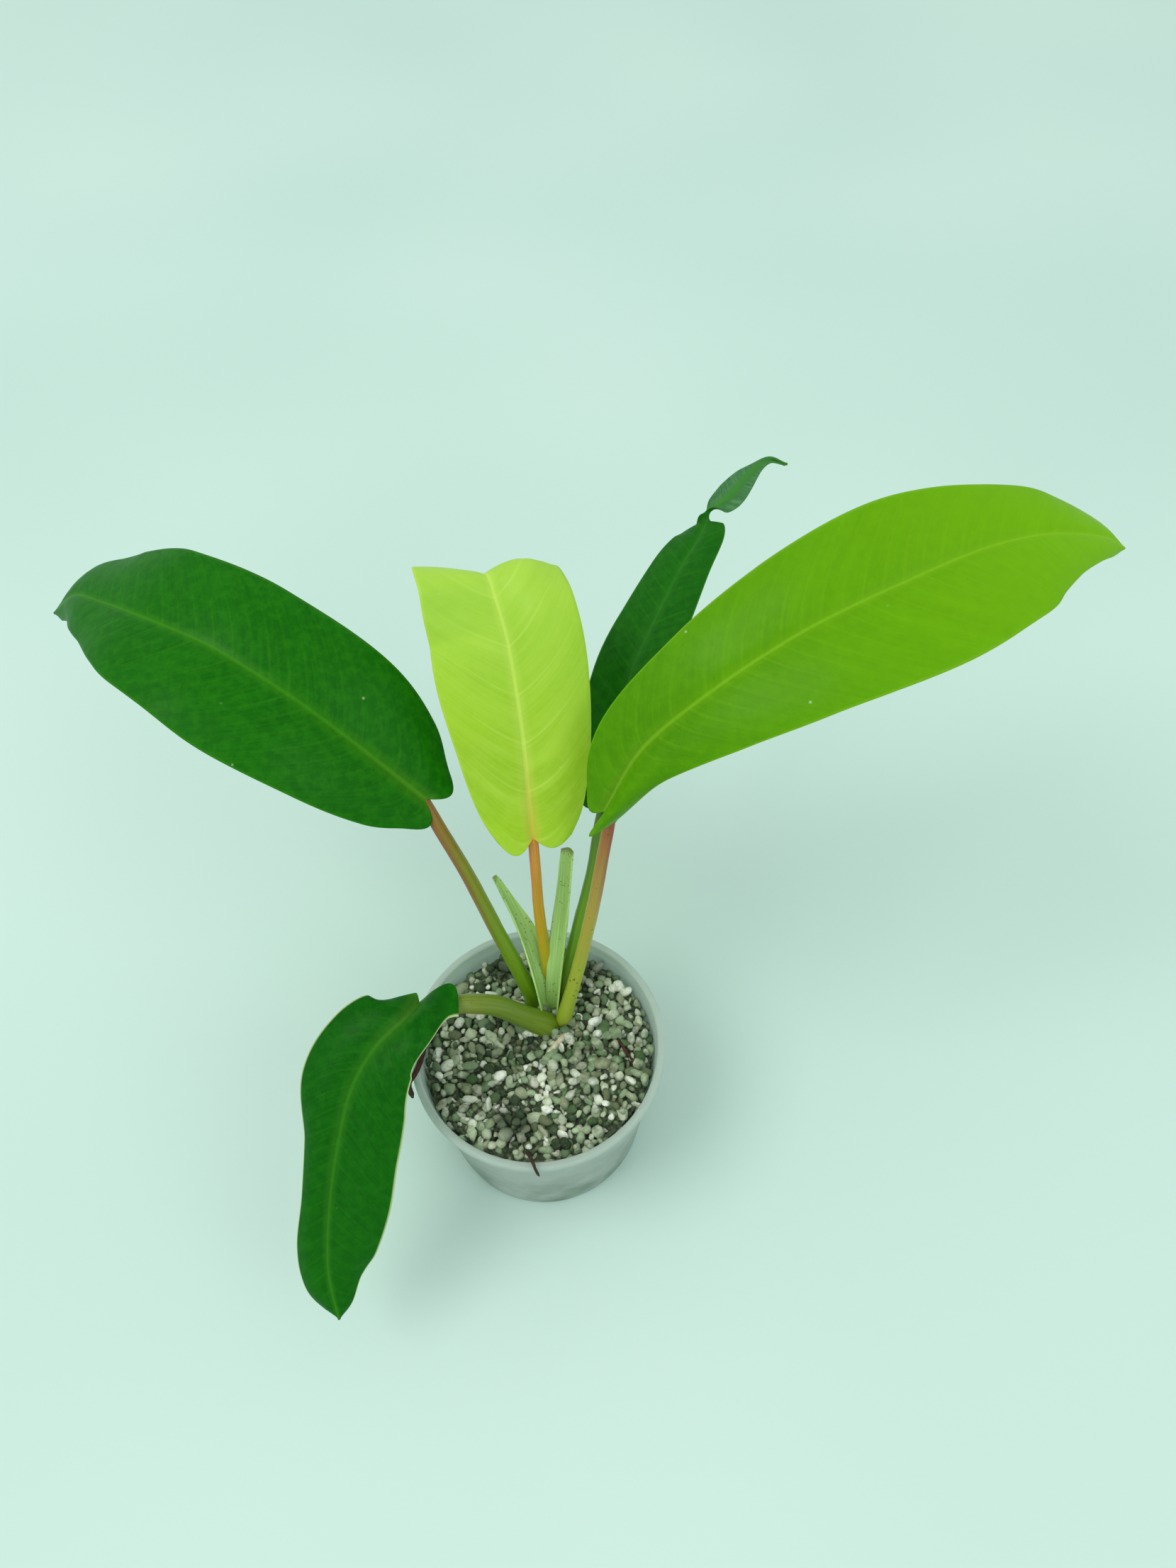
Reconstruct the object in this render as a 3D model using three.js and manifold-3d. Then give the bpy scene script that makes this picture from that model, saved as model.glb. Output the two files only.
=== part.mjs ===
// A young philodendron with five leaves, growing in a translucent plastic pot filled with pumice gravel.
// Millimetres, +Z up. The origin is the centre of the pot's flat underside, and +X is the long way across the leaves.
import * as THREE from "three";
import { mergeVertices } from "three/addons/utils/BufferGeometryUtils.js";
import Module from "manifold-3d";

const wasm = await Module();
wasm.setup();

// ---------------------------------------------------------------- driving dimensions

const CLEARANCE = 0.3; // gap left between pieces that touch
const ROOT_CLEARANCE = 0.5; // the gravel lies looser round the roots

const POT = {
  height: 74,
  rimRadius: 50,
  lipWidth: 3, // from the rim's outer edge in to the bore
  lipHeight: 4,
  wall: 1,
  beadBelowRim: 9, // a thin raised line round the wall
  beadRise: 0.5,
  baseRadius: 41,
  baseThickness: 1.6,
  drainHoles: 6,
  drainHoleRadius: 2.4,
  drainCircleRadius: 27,
  sides: 36,
};

const GRAVEL = {
  headspace: 7, // from the rim down to the gravel
  lump: 0.7, // height of the uneven surface
  stoneRadius: 3.4,
  stoneRings: [
    { radius: 37, count: 12, from: 10, to: 340 },
    { radius: 22, count: 8, from: 130, to: 389 },
    { radius: 11, count: 3, from: 215, to: 310 },
  ],
};

const CROWN = { x: 6, y: 15, radius: 8.5, top: -3, depth: 26 }; // top and depth are from the gravel's surface

const BLADE_THICKNESS = 0.8;
const RIB_DEPTH = 1.1; // the midrib stands out under a blade by this much at its base
const SHEATH_THICKNESS = 0.9;

// A leaf's points are from the crown: X right, Y back, Z up from the gravel's surface. A petiole's `reach` ends
// at its blade, and `size` is its radius at the foot and there. Along a midrib, `face` is the way the upper side
// looks and `widths` are the left and right half widths, each with the share of the midrib where it holds.
// `lobes` are how far the two halves of the base hang back past the petiole and `curl` how far they stand up there.
// `fold` raises the halves, in degrees, `puff` bulges each half upwards, `cup` bends the edges down, and `wave`
// ripples them: its height and how many.
const LEAVES = {
  left: {
    reach: [[-6, 6, -7], [-8, 6, 2], [-12, 9, 17], [-20, 16, 43], [-28, 24, 68], [-36, 32, 87], [-41, 39, 98]],
    size: [3.3, 2.3],
    midrib: [[-41, 39, 98], [-64, 49, 120], [-81, 57, 133], [-98, 66, 141], [-113, 74.5, 145], [-136, 88, 144],
      [-156, 103, 137], [-172, 115, 129], [-185, 118, 117]],
    face: [[0, [0.1, -0.3, 1]], [0.5, [0, -0.2, 1]], [0.85, [-0.3, -0.1, 1]], [1, [-0.7, 0, 0.7]]],
    widths: [[0, 13, 15], [0.07, 21, 24], [0.2, 28, 31], [0.4, 32.5, 32], [0.6, 27.5, 30.5], [0.69, 22.5, 29.5],
      [0.78, 17, 25], [0.9, 11, 15], [0.965, 6, 6], [1, 0.5, 0.5]],
    lobes: [7, 7],
    curl: [0, 0],
    fold: 6,
    puff: [1, 1],
    cup: 3,
    wave: [1, 2],
    rows: 16,
    colour: 0x1f7a1c,
    stalk: 0x7c8f2a,
  },
  centre: {
    reach: [[-2, 6, -7], [-2, 9, 2], [-2, 13, 25], [-3, 17, 51], [-3, 20, 75], [-3, 24, 93]],
    size: [2.5, 1.8],
    midrib: [[-3, 24, 93], [-4, 35, 105], [-5, 48, 120], [-7, 61, 135], [-9, 71, 146], [-12, 80, 154],
      [-15, 89, 158], [-19, 98, 148], [-23, 107, 130], [-27, 115, 111]],
    face: [[0, [0.1, -1, 0.5]], [0.5, [0, -0.8, 0.6]], [0.7, [0.25, 0.4, 0.9]], [0.85, [0.1, 1, 0.3]],
      [1, [0.1, 1, 0.2]]],
    widths: [[0, 13, 14], [0.07, 18, 19], [0.2, 23, 23], [0.4, 27, 26], [0.6, 25, 25], [0.7, 24, 21], [0.8, 20, 16],
      [0.9, 14, 10], [0.965, 7, 5], [1, 0.5, 0.5]],
    lobes: [5.5, 4],
    curl: [0, 0],
    fold: 8,
    puff: [0, 4],
    cup: 3,
    wave: [1, 1],
    rows: 24,
    colour: 0xb9e23b,
    stalk: 0xc79a2c,
  },
  back: {
    reach: [[3, 3, -7], [4.5, 3, 0], [7, 10, 18], [12, 19, 41], [18, 31, 63], [21, 44, 83]],
    size: [2.9, 2],
    midrib: [[21, 44, 83], [27, 63, 99], [34, 84, 111], [44, 103, 120], [54, 121, 127], [62, 134, 130],
      [68, 146, 132], [75, 151, 135], [83, 162, 135], [92, 173, 133], [100, 179, 126]],
    face: [[0, [-0.7, -0.6, 0.8]], [0.6, [-0.7, -0.6, 0.8]], [0.69, [0.6, -0.6, 0.3]], [0.73, [0.9, 0, -0.4]],
      [0.79, [0.1, 0.7, -0.8]], [1, [0, 0.7, -0.8]]],
    widths: [[0, 10, 10], [0.07, 14, 14], [0.2, 16, 16], [0.4, 16, 15], [0.6, 12, 10.5], [0.66, 8, 6], [0.695, 3, 2.6],
      [0.77, 5.5, 5.5], [0.83, 4.5, 4.5], [0.89, 2.2, 2.2], [0.95, 1.2, 1.2], [1, 0.5, 0.5]],
    lobes: [8, 8],
    curl: [0, 0],
    fold: 8,
    puff: [0, 0],
    cup: 2,
    wave: [1, 1.5],
    rows: 26,
    colour: 0x14651d,
    stalk: 0x6c8f1f,
  },
  right: {
    reach: [[3, -1, -7], [4.2, -2, 0], [9.3, 4, 21], [14.3, 8, 48], [18.6, 12, 75], [22, 18, 98], [23, 22, 111]],
    size: [2.8, 2.1],
    midrib: [[22, 21, 113], [35, 30, 136], [58, 37, 157], [81, 45, 170], [98, 51, 176], [115, 57, 180],
      [140, 68, 182], [159, 75, 181], [173, 79, 178], [188, 83, 172], [198, 85, 165]],
    face: [[0, [-0.5, -0.6, 0.8]], [0.4, [-0.2, -0.4, 1]], [1, [0.3, -0.3, 1]]],
    widths: [[0, 9, 5], [0.07, 15, 10], [0.2, 20, 18], [0.4, 26, 28], [0.6, 28, 32], [0.76, 21, 27], [0.83, 17.5, 20],
      [0.88, 13.5, 13.5], [0.93, 9, 8.5], [0.97, 5, 5], [1, 0.5, 0.5]],
    lobes: [5, 9],
    curl: [0, 7],
    fold: 6,
    puff: [1, 1],
    cup: 2,
    wave: [1, 2],
    rows: 18,
    colour: 0x7cc40f,
    stalk: 0xb0a04a,
  },
  front: {
    reach: [[-6, -4, -7], [-8, -5, 1], [-13, -6, 12], [-21, -8, 26], [-31, -11, 35], [-40, -12, 36], [-49, -13, 36]],
    size: [4.6, 3],
    midrib: [[-48, -12, 41], [-53, -22, 46], [-63, -31, 43], [-72, -43, 34], [-77.5, -59, 22], [-81, -73, 10],
      [-83, -87, -2], [-83, -97, -11], [-80, -109, -20]],
    face: [[0, [-0.1, 0.05, 1]], [0.2, [0, -0.2, 1]], [0.5, [-0.1, -0.3, 1]], [1, [0, -0.5, 1]]],
    widths: [[0, 16.5, 4], [0.035, 13.5, 11.5], [0.095, 13.5, 16], [0.2, 18, 19.5], [0.335, 22, 20.5], [0.5, 23.5, 13.5],
      [0.65, 23, 11], [0.8, 18, 12], [0.9, 11, 10], [0.965, 6, 5], [1, 0.5, 0.5]],
    lobes: [10, 1],
    curl: [3.5, 3],
    fold: 6,
    puff: [1, 2],
    cup: 3,
    wave: [1, 2],
    rows: 18,
    colour: 0x1c7d14,
    stalk: 0x7f9a35,
  },
};

// Sheaths that wrapped the youngest leaves, now dry at the tip. They are folded along a keel, like a V.
const SHEATHS = {
  left: {
    midrib: [[-4, -1, -6], [-4, 2, 0], [-7, 10, 19], [-12, 20, 38], [-20, 32, 55]],
    face: [[0, [0.8, -0.5, 0.3]], [1, [0.8, -0.3, 0.3]]],
    widths: [[0, 3.5, 3.5], [0.07, 5, 4.5], [0.2, 6, 6], [0.4, 6, 7.5], [0.6, 5, 6.5],
      [0.78, 3.5, 4], [0.9, 2.5, 2.5], [0.965, 1.8, 1.8], [1, 1, 1]],
    lobes: [0, 0],
    curl: [0, 0],
    fold: 38,
    puff: [0, 0],
    cup: 0,
    wave: [0, 0],
  },
  right: {
    midrib: [[1, 1, -6], [1, 2, 0], [3, 10, 23], [6, 20, 48], [9, 29, 78]],
    face: [[0, [-0.7, -0.5, 0.2]], [1, [-0.3, -0.8, 0.2]]],
    widths: [[0, 3.5, 3.5], [0.07, 4, 4], [0.2, 4.5, 4.5], [0.4, 4.5, 4.5], [0.6, 4, 4],
      [0.78, 3.2, 3.2], [0.9, 3, 3], [0.965, 2.8, 2.8], [1, 2.6, 2.6]],
    lobes: [0, 0],
    curl: [0, 0],
    fold: 38,
    puff: [0, 0],
    cup: 0,
    wave: [0, 0],
  },
};

// Two roots cross the rim. Each point is how far out it is from the rim's edge, its direction round the pot in
// degrees, and its height above the rim.
const RIM_ROOTS = {
  aerial_root: {
    at: [[-8.2, 163, -11], [-6.6, 170, -4], [-5.6, 178, 0.6], [-5, 186, 2.6], [-2.4, 193.5, 2.7], [1.6, 197, 0.6],
      [2.4, 198, -3.5], [2.3, 199, -11]],
    size: [1.4, 1],
    colour: 0x3c2018,
  },
  rim_rootlet: {
    at: [[-9.5, 263.7, -11], [-6.6, 265.1, -3], [-3.4, 267.2, 1.7], [0.1, 268.9, 1.5], [1.6, 270.4, -2.6]],
    size: [0.8, 0.5],
    colour: 0x3c2018,
  },
};

// Two lie on the gravel: X and Y from the pot's axis, Z up from the gravel's surface.
const LOOSE_ROOTS = {
  loose_rootlet: { at: [[31, 4, 0.4], [34, -2, 1.4], [38, -8, 0.9]], size: [0.6, 0.6], colour: 0x3c2018 },
  young_root: { at: [[9, 7, -3], [9.5, 4, 0.8], [7, 1, 1.6], [4, -2.5, 1.2], [2, -5, -2]], size: [1.3, 0.9], colour: 0xcbc4ae },
};

// ---------------------------------------------------------------- solids

const radians = THREE.MathUtils.degToRad;
const vectors = (points) => points.map((p) => new THREE.Vector3(...p));
const curveOf = (points) => new THREE.CatmullRomCurve3(vectors(points), false, "catmullrom", 0.5);

// A closed three.js geometry as a manifold solid.
function solidOf(geometry) {
  const plain = geometry.clone();
  plain.deleteAttribute("normal");
  plain.deleteAttribute("uv");
  const merged = mergeVertices(plain, 1e-3);
  const mesh = new wasm.Mesh({
    numProp: 3,
    vertProperties: new Float32Array(merged.attributes.position.array),
    triVerts: new Uint32Array(merged.index.array),
  });
  return new wasm.Manifold(mesh);
}

// A manifold solid's largest body as a three.js geometry. Cutting thin leaves can leave slivers beside it.
function geometryOf(solid) {
  const largest = solid.decompose().reduce((a, b) => (a.volume() > b.volume() ? a : b));
  const mesh = largest.getMesh();
  return new THREE.BufferGeometry()
    .setAttribute("position", new THREE.BufferAttribute(new Float32Array(mesh.vertProperties), 3))
    .setIndex(new THREE.BufferAttribute(new Uint32Array(mesh.triVerts), 1));
}

// Moves every vertex of a closed geometry to place(vertex).
function bent(geometry, place) {
  const position = geometry.attributes.position;
  const vertex = new THREE.Vector3();
  for (let i = 0; i < position.count; i++) {
    vertex.fromBufferAttribute(position, i);
    const moved = place(vertex);
    position.setXYZ(i, moved.x, moved.y, moved.z);
  }
  return geometry;
}

// The way a surface looks at a share of its midrib, between the listed ones.
function faceAt(face, share) {
  const next = face.findIndex(([at]) => at >= share);
  if (next === 0) return new THREE.Vector3(...face[0][1]);
  if (next < 0) return new THREE.Vector3(...face.at(-1)[1]);
  const [from, a] = face[next - 1];
  const [to, b] = face[next];
  return new THREE.Vector3(...a).lerp(new THREE.Vector3(...b), (share - from) / (to - from));
}

// The directions at a share of a curve: along it, out of its upper face, and to its right.
function directions(curve, share, face) {
  const along = curve.getTangentAt(share);
  const hint = faceAt(face, share);
  const up = hint.addScaledVector(along, -hint.dot(along)).normalize();
  const right = along.clone().cross(up);
  return { along, up, right };
}

// A round stalk along a curve, from one radius to another. `grow` makes the room that a neighbour cuts for it.
function stalkSolid(curve, [from, to], sides, steps, grow = 0) {
  const rod = new THREE.CylinderGeometry(1, 1, 1, sides, steps);
  const face = [[0, [0.3, -0.5, 0.4]]];
  return solidOf(bent(rod, (v) => {
    const share = v.y + 0.5;
    const { along, up, right } = directions(curve, share, face);
    const radius = from + (to - from) * share + grow;
    const end = (share < 0.001 ? -grow : 0) + (share > 0.999 ? grow : 0);
    return curve.getPointAt(share)
      .addScaledVector(right, v.x * radius)
      .addScaledVector(up, v.z * radius)
      .addScaledVector(along, end);
  }));
}

// A point of a blade's middle surface, `width` to the side at its margin, where `v` is 1 on the right and -1 on the left.
function surfacePoint(blade, curve, share, width, v) {
  const { along, up, right } = directions(curve, share, blade.face);
  const out = Math.abs(v);
  const fold = radians(blade.fold);
  const [waveHeight, waveCount] = blade.wave;
  const ripple = waveHeight * Math.sin(2 * Math.PI * waveCount * share);
  const half = v < 0 ? 0 : 1;
  const bulge = blade.puff[half] * Math.sin(Math.PI * out) * Math.sin(Math.PI * share);
  const hang = Math.sin(Math.PI * out) * Math.max(0, 1 - share / 0.3) ** 2;
  const rise = out * width * Math.sin(fold) + bulge + (ripple - blade.cup) * out * out + blade.curl[half] * hang;
  const back = blade.lobes[half] * hang;
  return curve.getPointAt(share)
    .addScaledVector(right, v * width * Math.cos(fold))
    .addScaledVector(up, rise)
    .addScaledVector(along, -back);
}

// The same for a row of the sheet, where `t` is 0 at the base and 1 at the tip.
function bladePoint(blade, curve, t, v, grow) {
  const side = v < 0 ? 1 : 2;
  const outline = new THREE.SplineCurve(blade.widths.map((row) => new THREE.Vector2(row[0], row[side])));
  const { x, y } = outline.getPoint(t);
  return surfacePoint(blade, curve, THREE.MathUtils.clamp(x, 0, 1), y + grow, v);
}

// A thin closed sheet around that surface, thicker underneath along its midrib. Its columns lie closer near the midrib.
function bladeSolid(blade, { thickness, rib = 0, across, rows, grow = 0 }) {
  const curve = curveOf(blade.midrib);
  const sheet = new THREE.BoxGeometry(2, 1, 1, across, rows, 1);
  const step = 0.004;
  return solidOf(bent(sheet, (vertex) => {
    const t = vertex.y + 0.5;
    const v = Math.sign(vertex.x) * Math.abs(vertex.x) ** 1.5;
    const point = (row, column) => bladePoint(blade, curve, row, column, grow);
    const forward = point(Math.min(t + step, 1), v).sub(point(Math.max(t - step, 0), v));
    const sideways = point(t, Math.min(v + step, 1)).sub(point(t, Math.max(v - step, -1)));
    const normal = sideways.cross(forward).normalize();
    const end = (t < 0.001 ? -grow : 0) + (t > 0.999 ? grow : 0);
    const under = vertex.z < 0 ? rib * (1 - t) * Math.max(0, 1 - 8 * Math.abs(v)) : 0;
    return point(t, v)
      .addScaledVector(normal, vertex.z * (thickness + 2 * grow) - under)
      .addScaledVector(forward.normalize(), end);
  }));
}

function mesh(name, geometry, colour, roughness, more = {}) {
  const made = new THREE.Mesh(geometry, new THREE.MeshStandardMaterial({ color: colour, roughness, metalness: 0, ...more }));
  made.name = name;
  return made;
}

const unionOf = (solids) => solids.reduce((a, b) => a.add(b));
const cutBy = (solid, tools) => tools.reduce((a, b) => a.subtract(b), solid);

// ---------------------------------------------------------------- pot

const boreRadius = POT.rimRadius - POT.lipWidth;
const floorRadius = POT.baseRadius - POT.wall;
const gravelLevel = POT.height - GRAVEL.headspace;

// The inside radius of the wall at a height.
function boreAt(z) {
  return floorRadius + ((boreRadius - floorRadius) * z) / POT.height;
}

function potSolid() {
  const corner = 1.2;
  const lipBottom = POT.height - POT.lipHeight;
  const beadTop = POT.height - POT.beadBelowRim;
  const outsideAt = (z) => boreAt(z) + POT.wall;
  const profile = [
    [0, 0],
    [POT.baseRadius - corner, 0],
    [POT.baseRadius, corner],
    [outsideAt(beadTop - 3 * POT.beadRise), beadTop - 3 * POT.beadRise],
    [outsideAt(beadTop - POT.beadRise) + POT.beadRise, beadTop - POT.beadRise],
    [outsideAt(beadTop), beadTop],
    [outsideAt(lipBottom), lipBottom],
    [POT.rimRadius, lipBottom + 0.4],
    [POT.rimRadius, POT.height - 0.8],
    [POT.rimRadius - 0.8, POT.height],
    [boreRadius + 0.4, POT.height],
    [boreRadius, POT.height - 0.4],
    [boreAt(POT.baseThickness), POT.baseThickness],
    [0, POT.baseThickness],
  ];
  // LatheGeometry turns its profile about Y, so the pot is stood up about X.
  const turned = new THREE.LatheGeometry(profile.map(([r, z]) => new THREE.Vector2(r, z)), POT.sides);
  turned.rotateX(Math.PI / 2);
  const drill = new THREE.CylinderGeometry(POT.drainHoleRadius, POT.drainHoleRadius, 3 * POT.baseThickness, 12);
  drill.rotateX(Math.PI / 2);
  const drills = Array.from({ length: POT.drainHoles }, (_, i) => {
    const angle = (2 * Math.PI * (i + 0.5)) / POT.drainHoles;
    return solidOf(drill).translate([POT.drainCircleRadius * Math.cos(angle), POT.drainCircleRadius * Math.sin(angle), 0]);
  });
  return cutBy(solidOf(turned), drills);
}

// ---------------------------------------------------------------- plant

const plantAt = [CROWN.x, CROWN.y, gravelLevel];

const leafCurves = Object.fromEntries(
  Object.entries(LEAVES).map(([name, leaf]) => [name, curveOf(leaf.reach)]),
);

function petioleSolid(name, grow = 0) {
  return stalkSolid(leafCurves[name], LEAVES[name].size, 8, 10, grow);
}

// The short stem under the gravel, with the roots that hold the plant in it.
function stemSolid(grow = 0) {
  const rootCount = 5;
  const rootRadius = 1.3;
  const profile = [
    [0, -CROWN.depth - grow],
    [CROWN.radius * 0.55 + grow, -CROWN.depth - grow],
    [CROWN.radius + grow, -CROWN.depth * 0.4],
    [CROWN.radius + grow, CROWN.top + grow],
    [0, CROWN.top + grow],
  ];
  const stock = new THREE.LatheGeometry(profile.map(([r, z]) => new THREE.Vector2(r, z)), 14);
  stock.rotateX(Math.PI / 2);
  const wallRoom = 2 * rootRadius; // between a root's end and the pot's wall
  const roots = Array.from({ length: rootCount }, (_, i) => {
    const angle = (2 * Math.PI * (i + 0.3)) / rootCount;
    const turn = (share) => angle + 0.9 * share;
    const end = POT.baseThickness + 8 + 4 * (i % 3); // its height in the pot
    const reach = boreAt(end) - rootRadius - wallRoom - Math.hypot(CROWN.x, CROWN.y);
    const drop = gravelLevel - CROWN.depth * 0.5 - end;
    const at = [0, 0.35, 0.7, 1].map((share) => {
      const radius = CROWN.radius * 0.4 + (reach - CROWN.radius * 0.4) * Math.sqrt(share);
      return [radius * Math.cos(turn(share)), radius * Math.sin(turn(share)), -CROWN.depth * 0.5 - drop * share];
    });
    return stalkSolid(curveOf(at), [rootRadius, rootRadius * 0.6], 5, 5, grow);
  });
  return unionOf([solidOf(stock).translate([0, 3, 0]), ...roots]);
}

// ---------------------------------------------------------------- gravel

// A repeatable number from 0 to 1.
function chance(seed) {
  const n = Math.sin(seed * 12.9898) * 43758.5453;
  return n - Math.floor(n);
}

function bedSolid() {
  const bottom = POT.baseThickness + CLEARANCE;
  const rings = 7;
  const edge = boreAt(gravelLevel) - CLEARANCE;
  const profile = [[0, bottom], [boreAt(bottom) - CLEARANCE, bottom]];
  for (let i = rings; i >= 0; i--) profile.push([(edge * i) / rings, gravelLevel]);
  const heap = new THREE.LatheGeometry(profile.map(([r, z]) => new THREE.Vector2(r, z)), POT.sides);
  heap.rotateX(Math.PI / 2);
  return solidOf(bent(heap, (v) => {
    const onTop = v.z > gravelLevel - 1e-3;
    const lump = Math.sin(v.x / 4.3 + 1) * Math.cos(v.y / 3.7) + 0.6 * Math.sin((v.x + v.y) / 6.1);
    return onTop ? v.setZ(v.z + GRAVEL.lump * lump) : v;
  }));
}

// Every loose stone of the top layer: where it lies and its three radii.
function stonePlaces() {
  return GRAVEL.stoneRings.flatMap(({ radius, count, from, to }, ring) =>
    Array.from({ length: count }, (_, i) => {
      const seed = 31 * (ring + 1) + i;
      const angle = radians(from + ((to - from) * i) / (count - 1));
      const size = [0, 1, 2].map((k) => GRAVEL.stoneRadius * (0.75 + 0.5 * chance(seed + 7.3 * k)));
      return { seed, size, turn: 360 * chance(seed + 0.5), x: radius * Math.cos(angle), y: radius * Math.sin(angle) };
    }),
  );
}

function stoneSolid({ seed, size, turn, x, y }, grow = 0) {
  const pebble = new THREE.IcosahedronGeometry(1, 0);
  const [a, b, c] = size;
  const shaped = bent(pebble, (v) => {
    const knob = 1 + 0.16 * Math.sin(3 * v.x + seed) * Math.cos(3 * v.y - seed);
    return v.set(v.x * (a * knob + grow), v.y * (b * knob + grow), v.z * (0.8 * c * knob + grow));
  });
  return solidOf(shaped).rotate([0, 0, turn]).translate([x, y, gravelLevel + 0.35 * c]);
}

// ---------------------------------------------------------------- assembly

const group = new THREE.Group();
const add = (...meshes) => group.add(...meshes);

add(mesh("pot", geometryOf(potSolid()), 0xdfe9e2, 0.35, { transparent: true, opacity: 0.6 }));

// Each petiole is cut by those nearer the crown's centre, so that their feet nest with a gap between them.
const nestOrder = ["right", "left", "centre", "back", "front"];
const grownPetioles = nestOrder.map((name) => petioleSolid(name, CLEARANCE));
const petioles = nestOrder.map((name, i) => cutBy(petioleSolid(name), grownPetioles.slice(0, i)));
nestOrder.forEach((name, i) => {
  const leaf = LEAVES[name];
  const blade = cutBy(
    bladeSolid(leaf, { thickness: BLADE_THICKNESS, rib: RIB_DEPTH, across: 8, rows: leaf.rows }),
    [grownPetioles[i]],
  );
  add(
    mesh(`petiole_${name}`, geometryOf(petioles[i].translate(plantAt)), leaf.stalk, 0.45),
    mesh(`blade_${name}`, geometryOf(blade.translate(plantAt)), leaf.colour, 0.4),
  );
});

const sheathSolid = (sheath, grow = 0) => bladeSolid(sheath, { thickness: SHEATH_THICKNESS, across: 4, rows: 10, grow });
const grownSheaths = Object.values(SHEATHS).map((sheath) => sheathSolid(sheath, CLEARANCE));
Object.entries(SHEATHS).forEach(([name, sheath], i) => {
  const cut = cutBy(sheathSolid(sheath), [...grownPetioles, ...grownSheaths.slice(0, i)]);
  add(mesh(`sheath_${name}`, geometryOf(cut.translate(plantAt)), 0xa9d080, 0.6));
});

const growing = unionOf([...grownPetioles, ...grownSheaths]).translate(plantAt);
const stem = cutBy(stemSolid().translate(plantAt), [growing]);
add(mesh("stem_and_buried_roots", geometryOf(stem), 0x6b5a35, 0.8));

function rimPoint([out, turn, up]) {
  const radius = POT.rimRadius + out;
  return [radius * Math.cos(radians(turn)), radius * Math.sin(radians(turn)), POT.height + up];
}

const surfaceRoots = [
  ...Object.entries(RIM_ROOTS).map(([name, root]) => ({ name, ...root, at: root.at.map(rimPoint) })),
  ...Object.entries(LOOSE_ROOTS).map(([name, root]) => ({ name, ...root, at: root.at.map(([x, y, z]) => [x, y, gravelLevel + z]) })),
];
const rootSolid = ({ at, size }, grow = 0) => stalkSolid(curveOf(at), size, 7, 10, grow);
for (const root of surfaceRoots) {
  const cut = cutBy(rootSolid(root), [growing, stemSolid(CLEARANCE).translate(plantAt)]);
  add(mesh(root.name, geometryOf(cut), root.colour, 0.7));
}

const stones = stonePlaces();
const greys = [0xcfd2c0, 0xa9ab93, 0x8d9a78, 0xdcdccb];
stones.forEach((stone, i) => {
  const number = String(i + 1).padStart(2, "0");
  add(mesh(`stone_${number}`, geometryOf(stoneSolid(stone)), greys[i % greys.length], 0.9));
});

// The bed is the packed gravel under them, with room cut for everything that sits in it.
const bed = cutBy(bedSolid(), [
  growing,
  stemSolid(ROOT_CLEARANCE).translate(plantAt),
  ...surfaceRoots.map((root) => rootSolid(root, ROOT_CLEARANCE)),
  ...stones.map((stone) => stoneSolid(stone, CLEARANCE)),
]);
add(mesh("gravel_bed", geometryOf(bed), 0xb9bba6, 0.95));

export default group;
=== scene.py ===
import math
from functools import partial

import bmesh
import bpy
import numpy as np
from mathutils import Matrix, Vector


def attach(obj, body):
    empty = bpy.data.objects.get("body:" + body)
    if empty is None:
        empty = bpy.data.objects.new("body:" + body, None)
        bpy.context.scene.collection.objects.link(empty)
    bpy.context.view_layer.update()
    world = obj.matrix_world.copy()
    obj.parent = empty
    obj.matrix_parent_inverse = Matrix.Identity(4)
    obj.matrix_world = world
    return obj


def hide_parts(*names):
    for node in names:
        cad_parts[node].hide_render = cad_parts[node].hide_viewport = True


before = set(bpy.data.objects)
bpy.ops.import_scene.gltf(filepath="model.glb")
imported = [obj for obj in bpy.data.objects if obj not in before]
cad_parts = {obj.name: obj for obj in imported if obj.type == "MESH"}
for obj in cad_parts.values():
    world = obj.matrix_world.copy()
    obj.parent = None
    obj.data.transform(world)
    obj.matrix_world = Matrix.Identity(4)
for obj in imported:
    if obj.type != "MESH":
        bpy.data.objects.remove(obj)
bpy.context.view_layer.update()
scene = bpy.context.scene
scene.view_settings.view_transform = "Standard"  # greens stay as bright as they are set
mm = 0.001

# short names for the nodes that come up most
maths, vector, mix = "ShaderNodeMath", "ShaderNodeVectorMath", "ShaderNodeMix"
spread, noise, cells = "ShaderNodeMapRange", "ShaderNodeTexNoise", "ShaderNodeTexVoronoi"
bumps, mapping, separate = "ShaderNodeBump", "ShaderNodeMapping", "ShaderNodeSeparateXYZ"
combine, coordinates, readAttribute = "ShaderNodeCombineXYZ", "ShaderNodeTexCoord", "ShaderNodeAttribute"
colourRamp, namedAttribute = "ShaderNodeValToRGB", "GeometryNodeInputNamedAttribute"
storeAttribute, setPosition = "GeometryNodeStoreNamedAttribute", "GeometryNodeSetPosition"
setMaterial, randomValue = "GeometryNodeSetMaterial", "FunctionNodeRandomValue"
surfaceNormal, joinPieces = "GeometryNodeInputNormal", "GeometryNodeJoinGeometry"
realize, shadeSmooth = "GeometryNodeRealizeInstances", "GeometryNodeSetShadeSmooth"

print("frame loaded,", len(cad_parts), "nodes")

crown = (6, 15, 67)  # mm, where the leaves' points are measured from; the last is the gravel's surface
plantAt = np.array(crown, float)


# A colour written as sRGB hex, as the linear colour that the nodes want
def paint(hexColour):
    parts = [int(hexColour[i:i + 2], 16) / 255 for i in (1, 3, 5)]
    return (*[c / 12.92 if c <= 0.04045 else ((c + 0.055) / 1.055) ** 2.4 for c in parts], 1.0)


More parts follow.
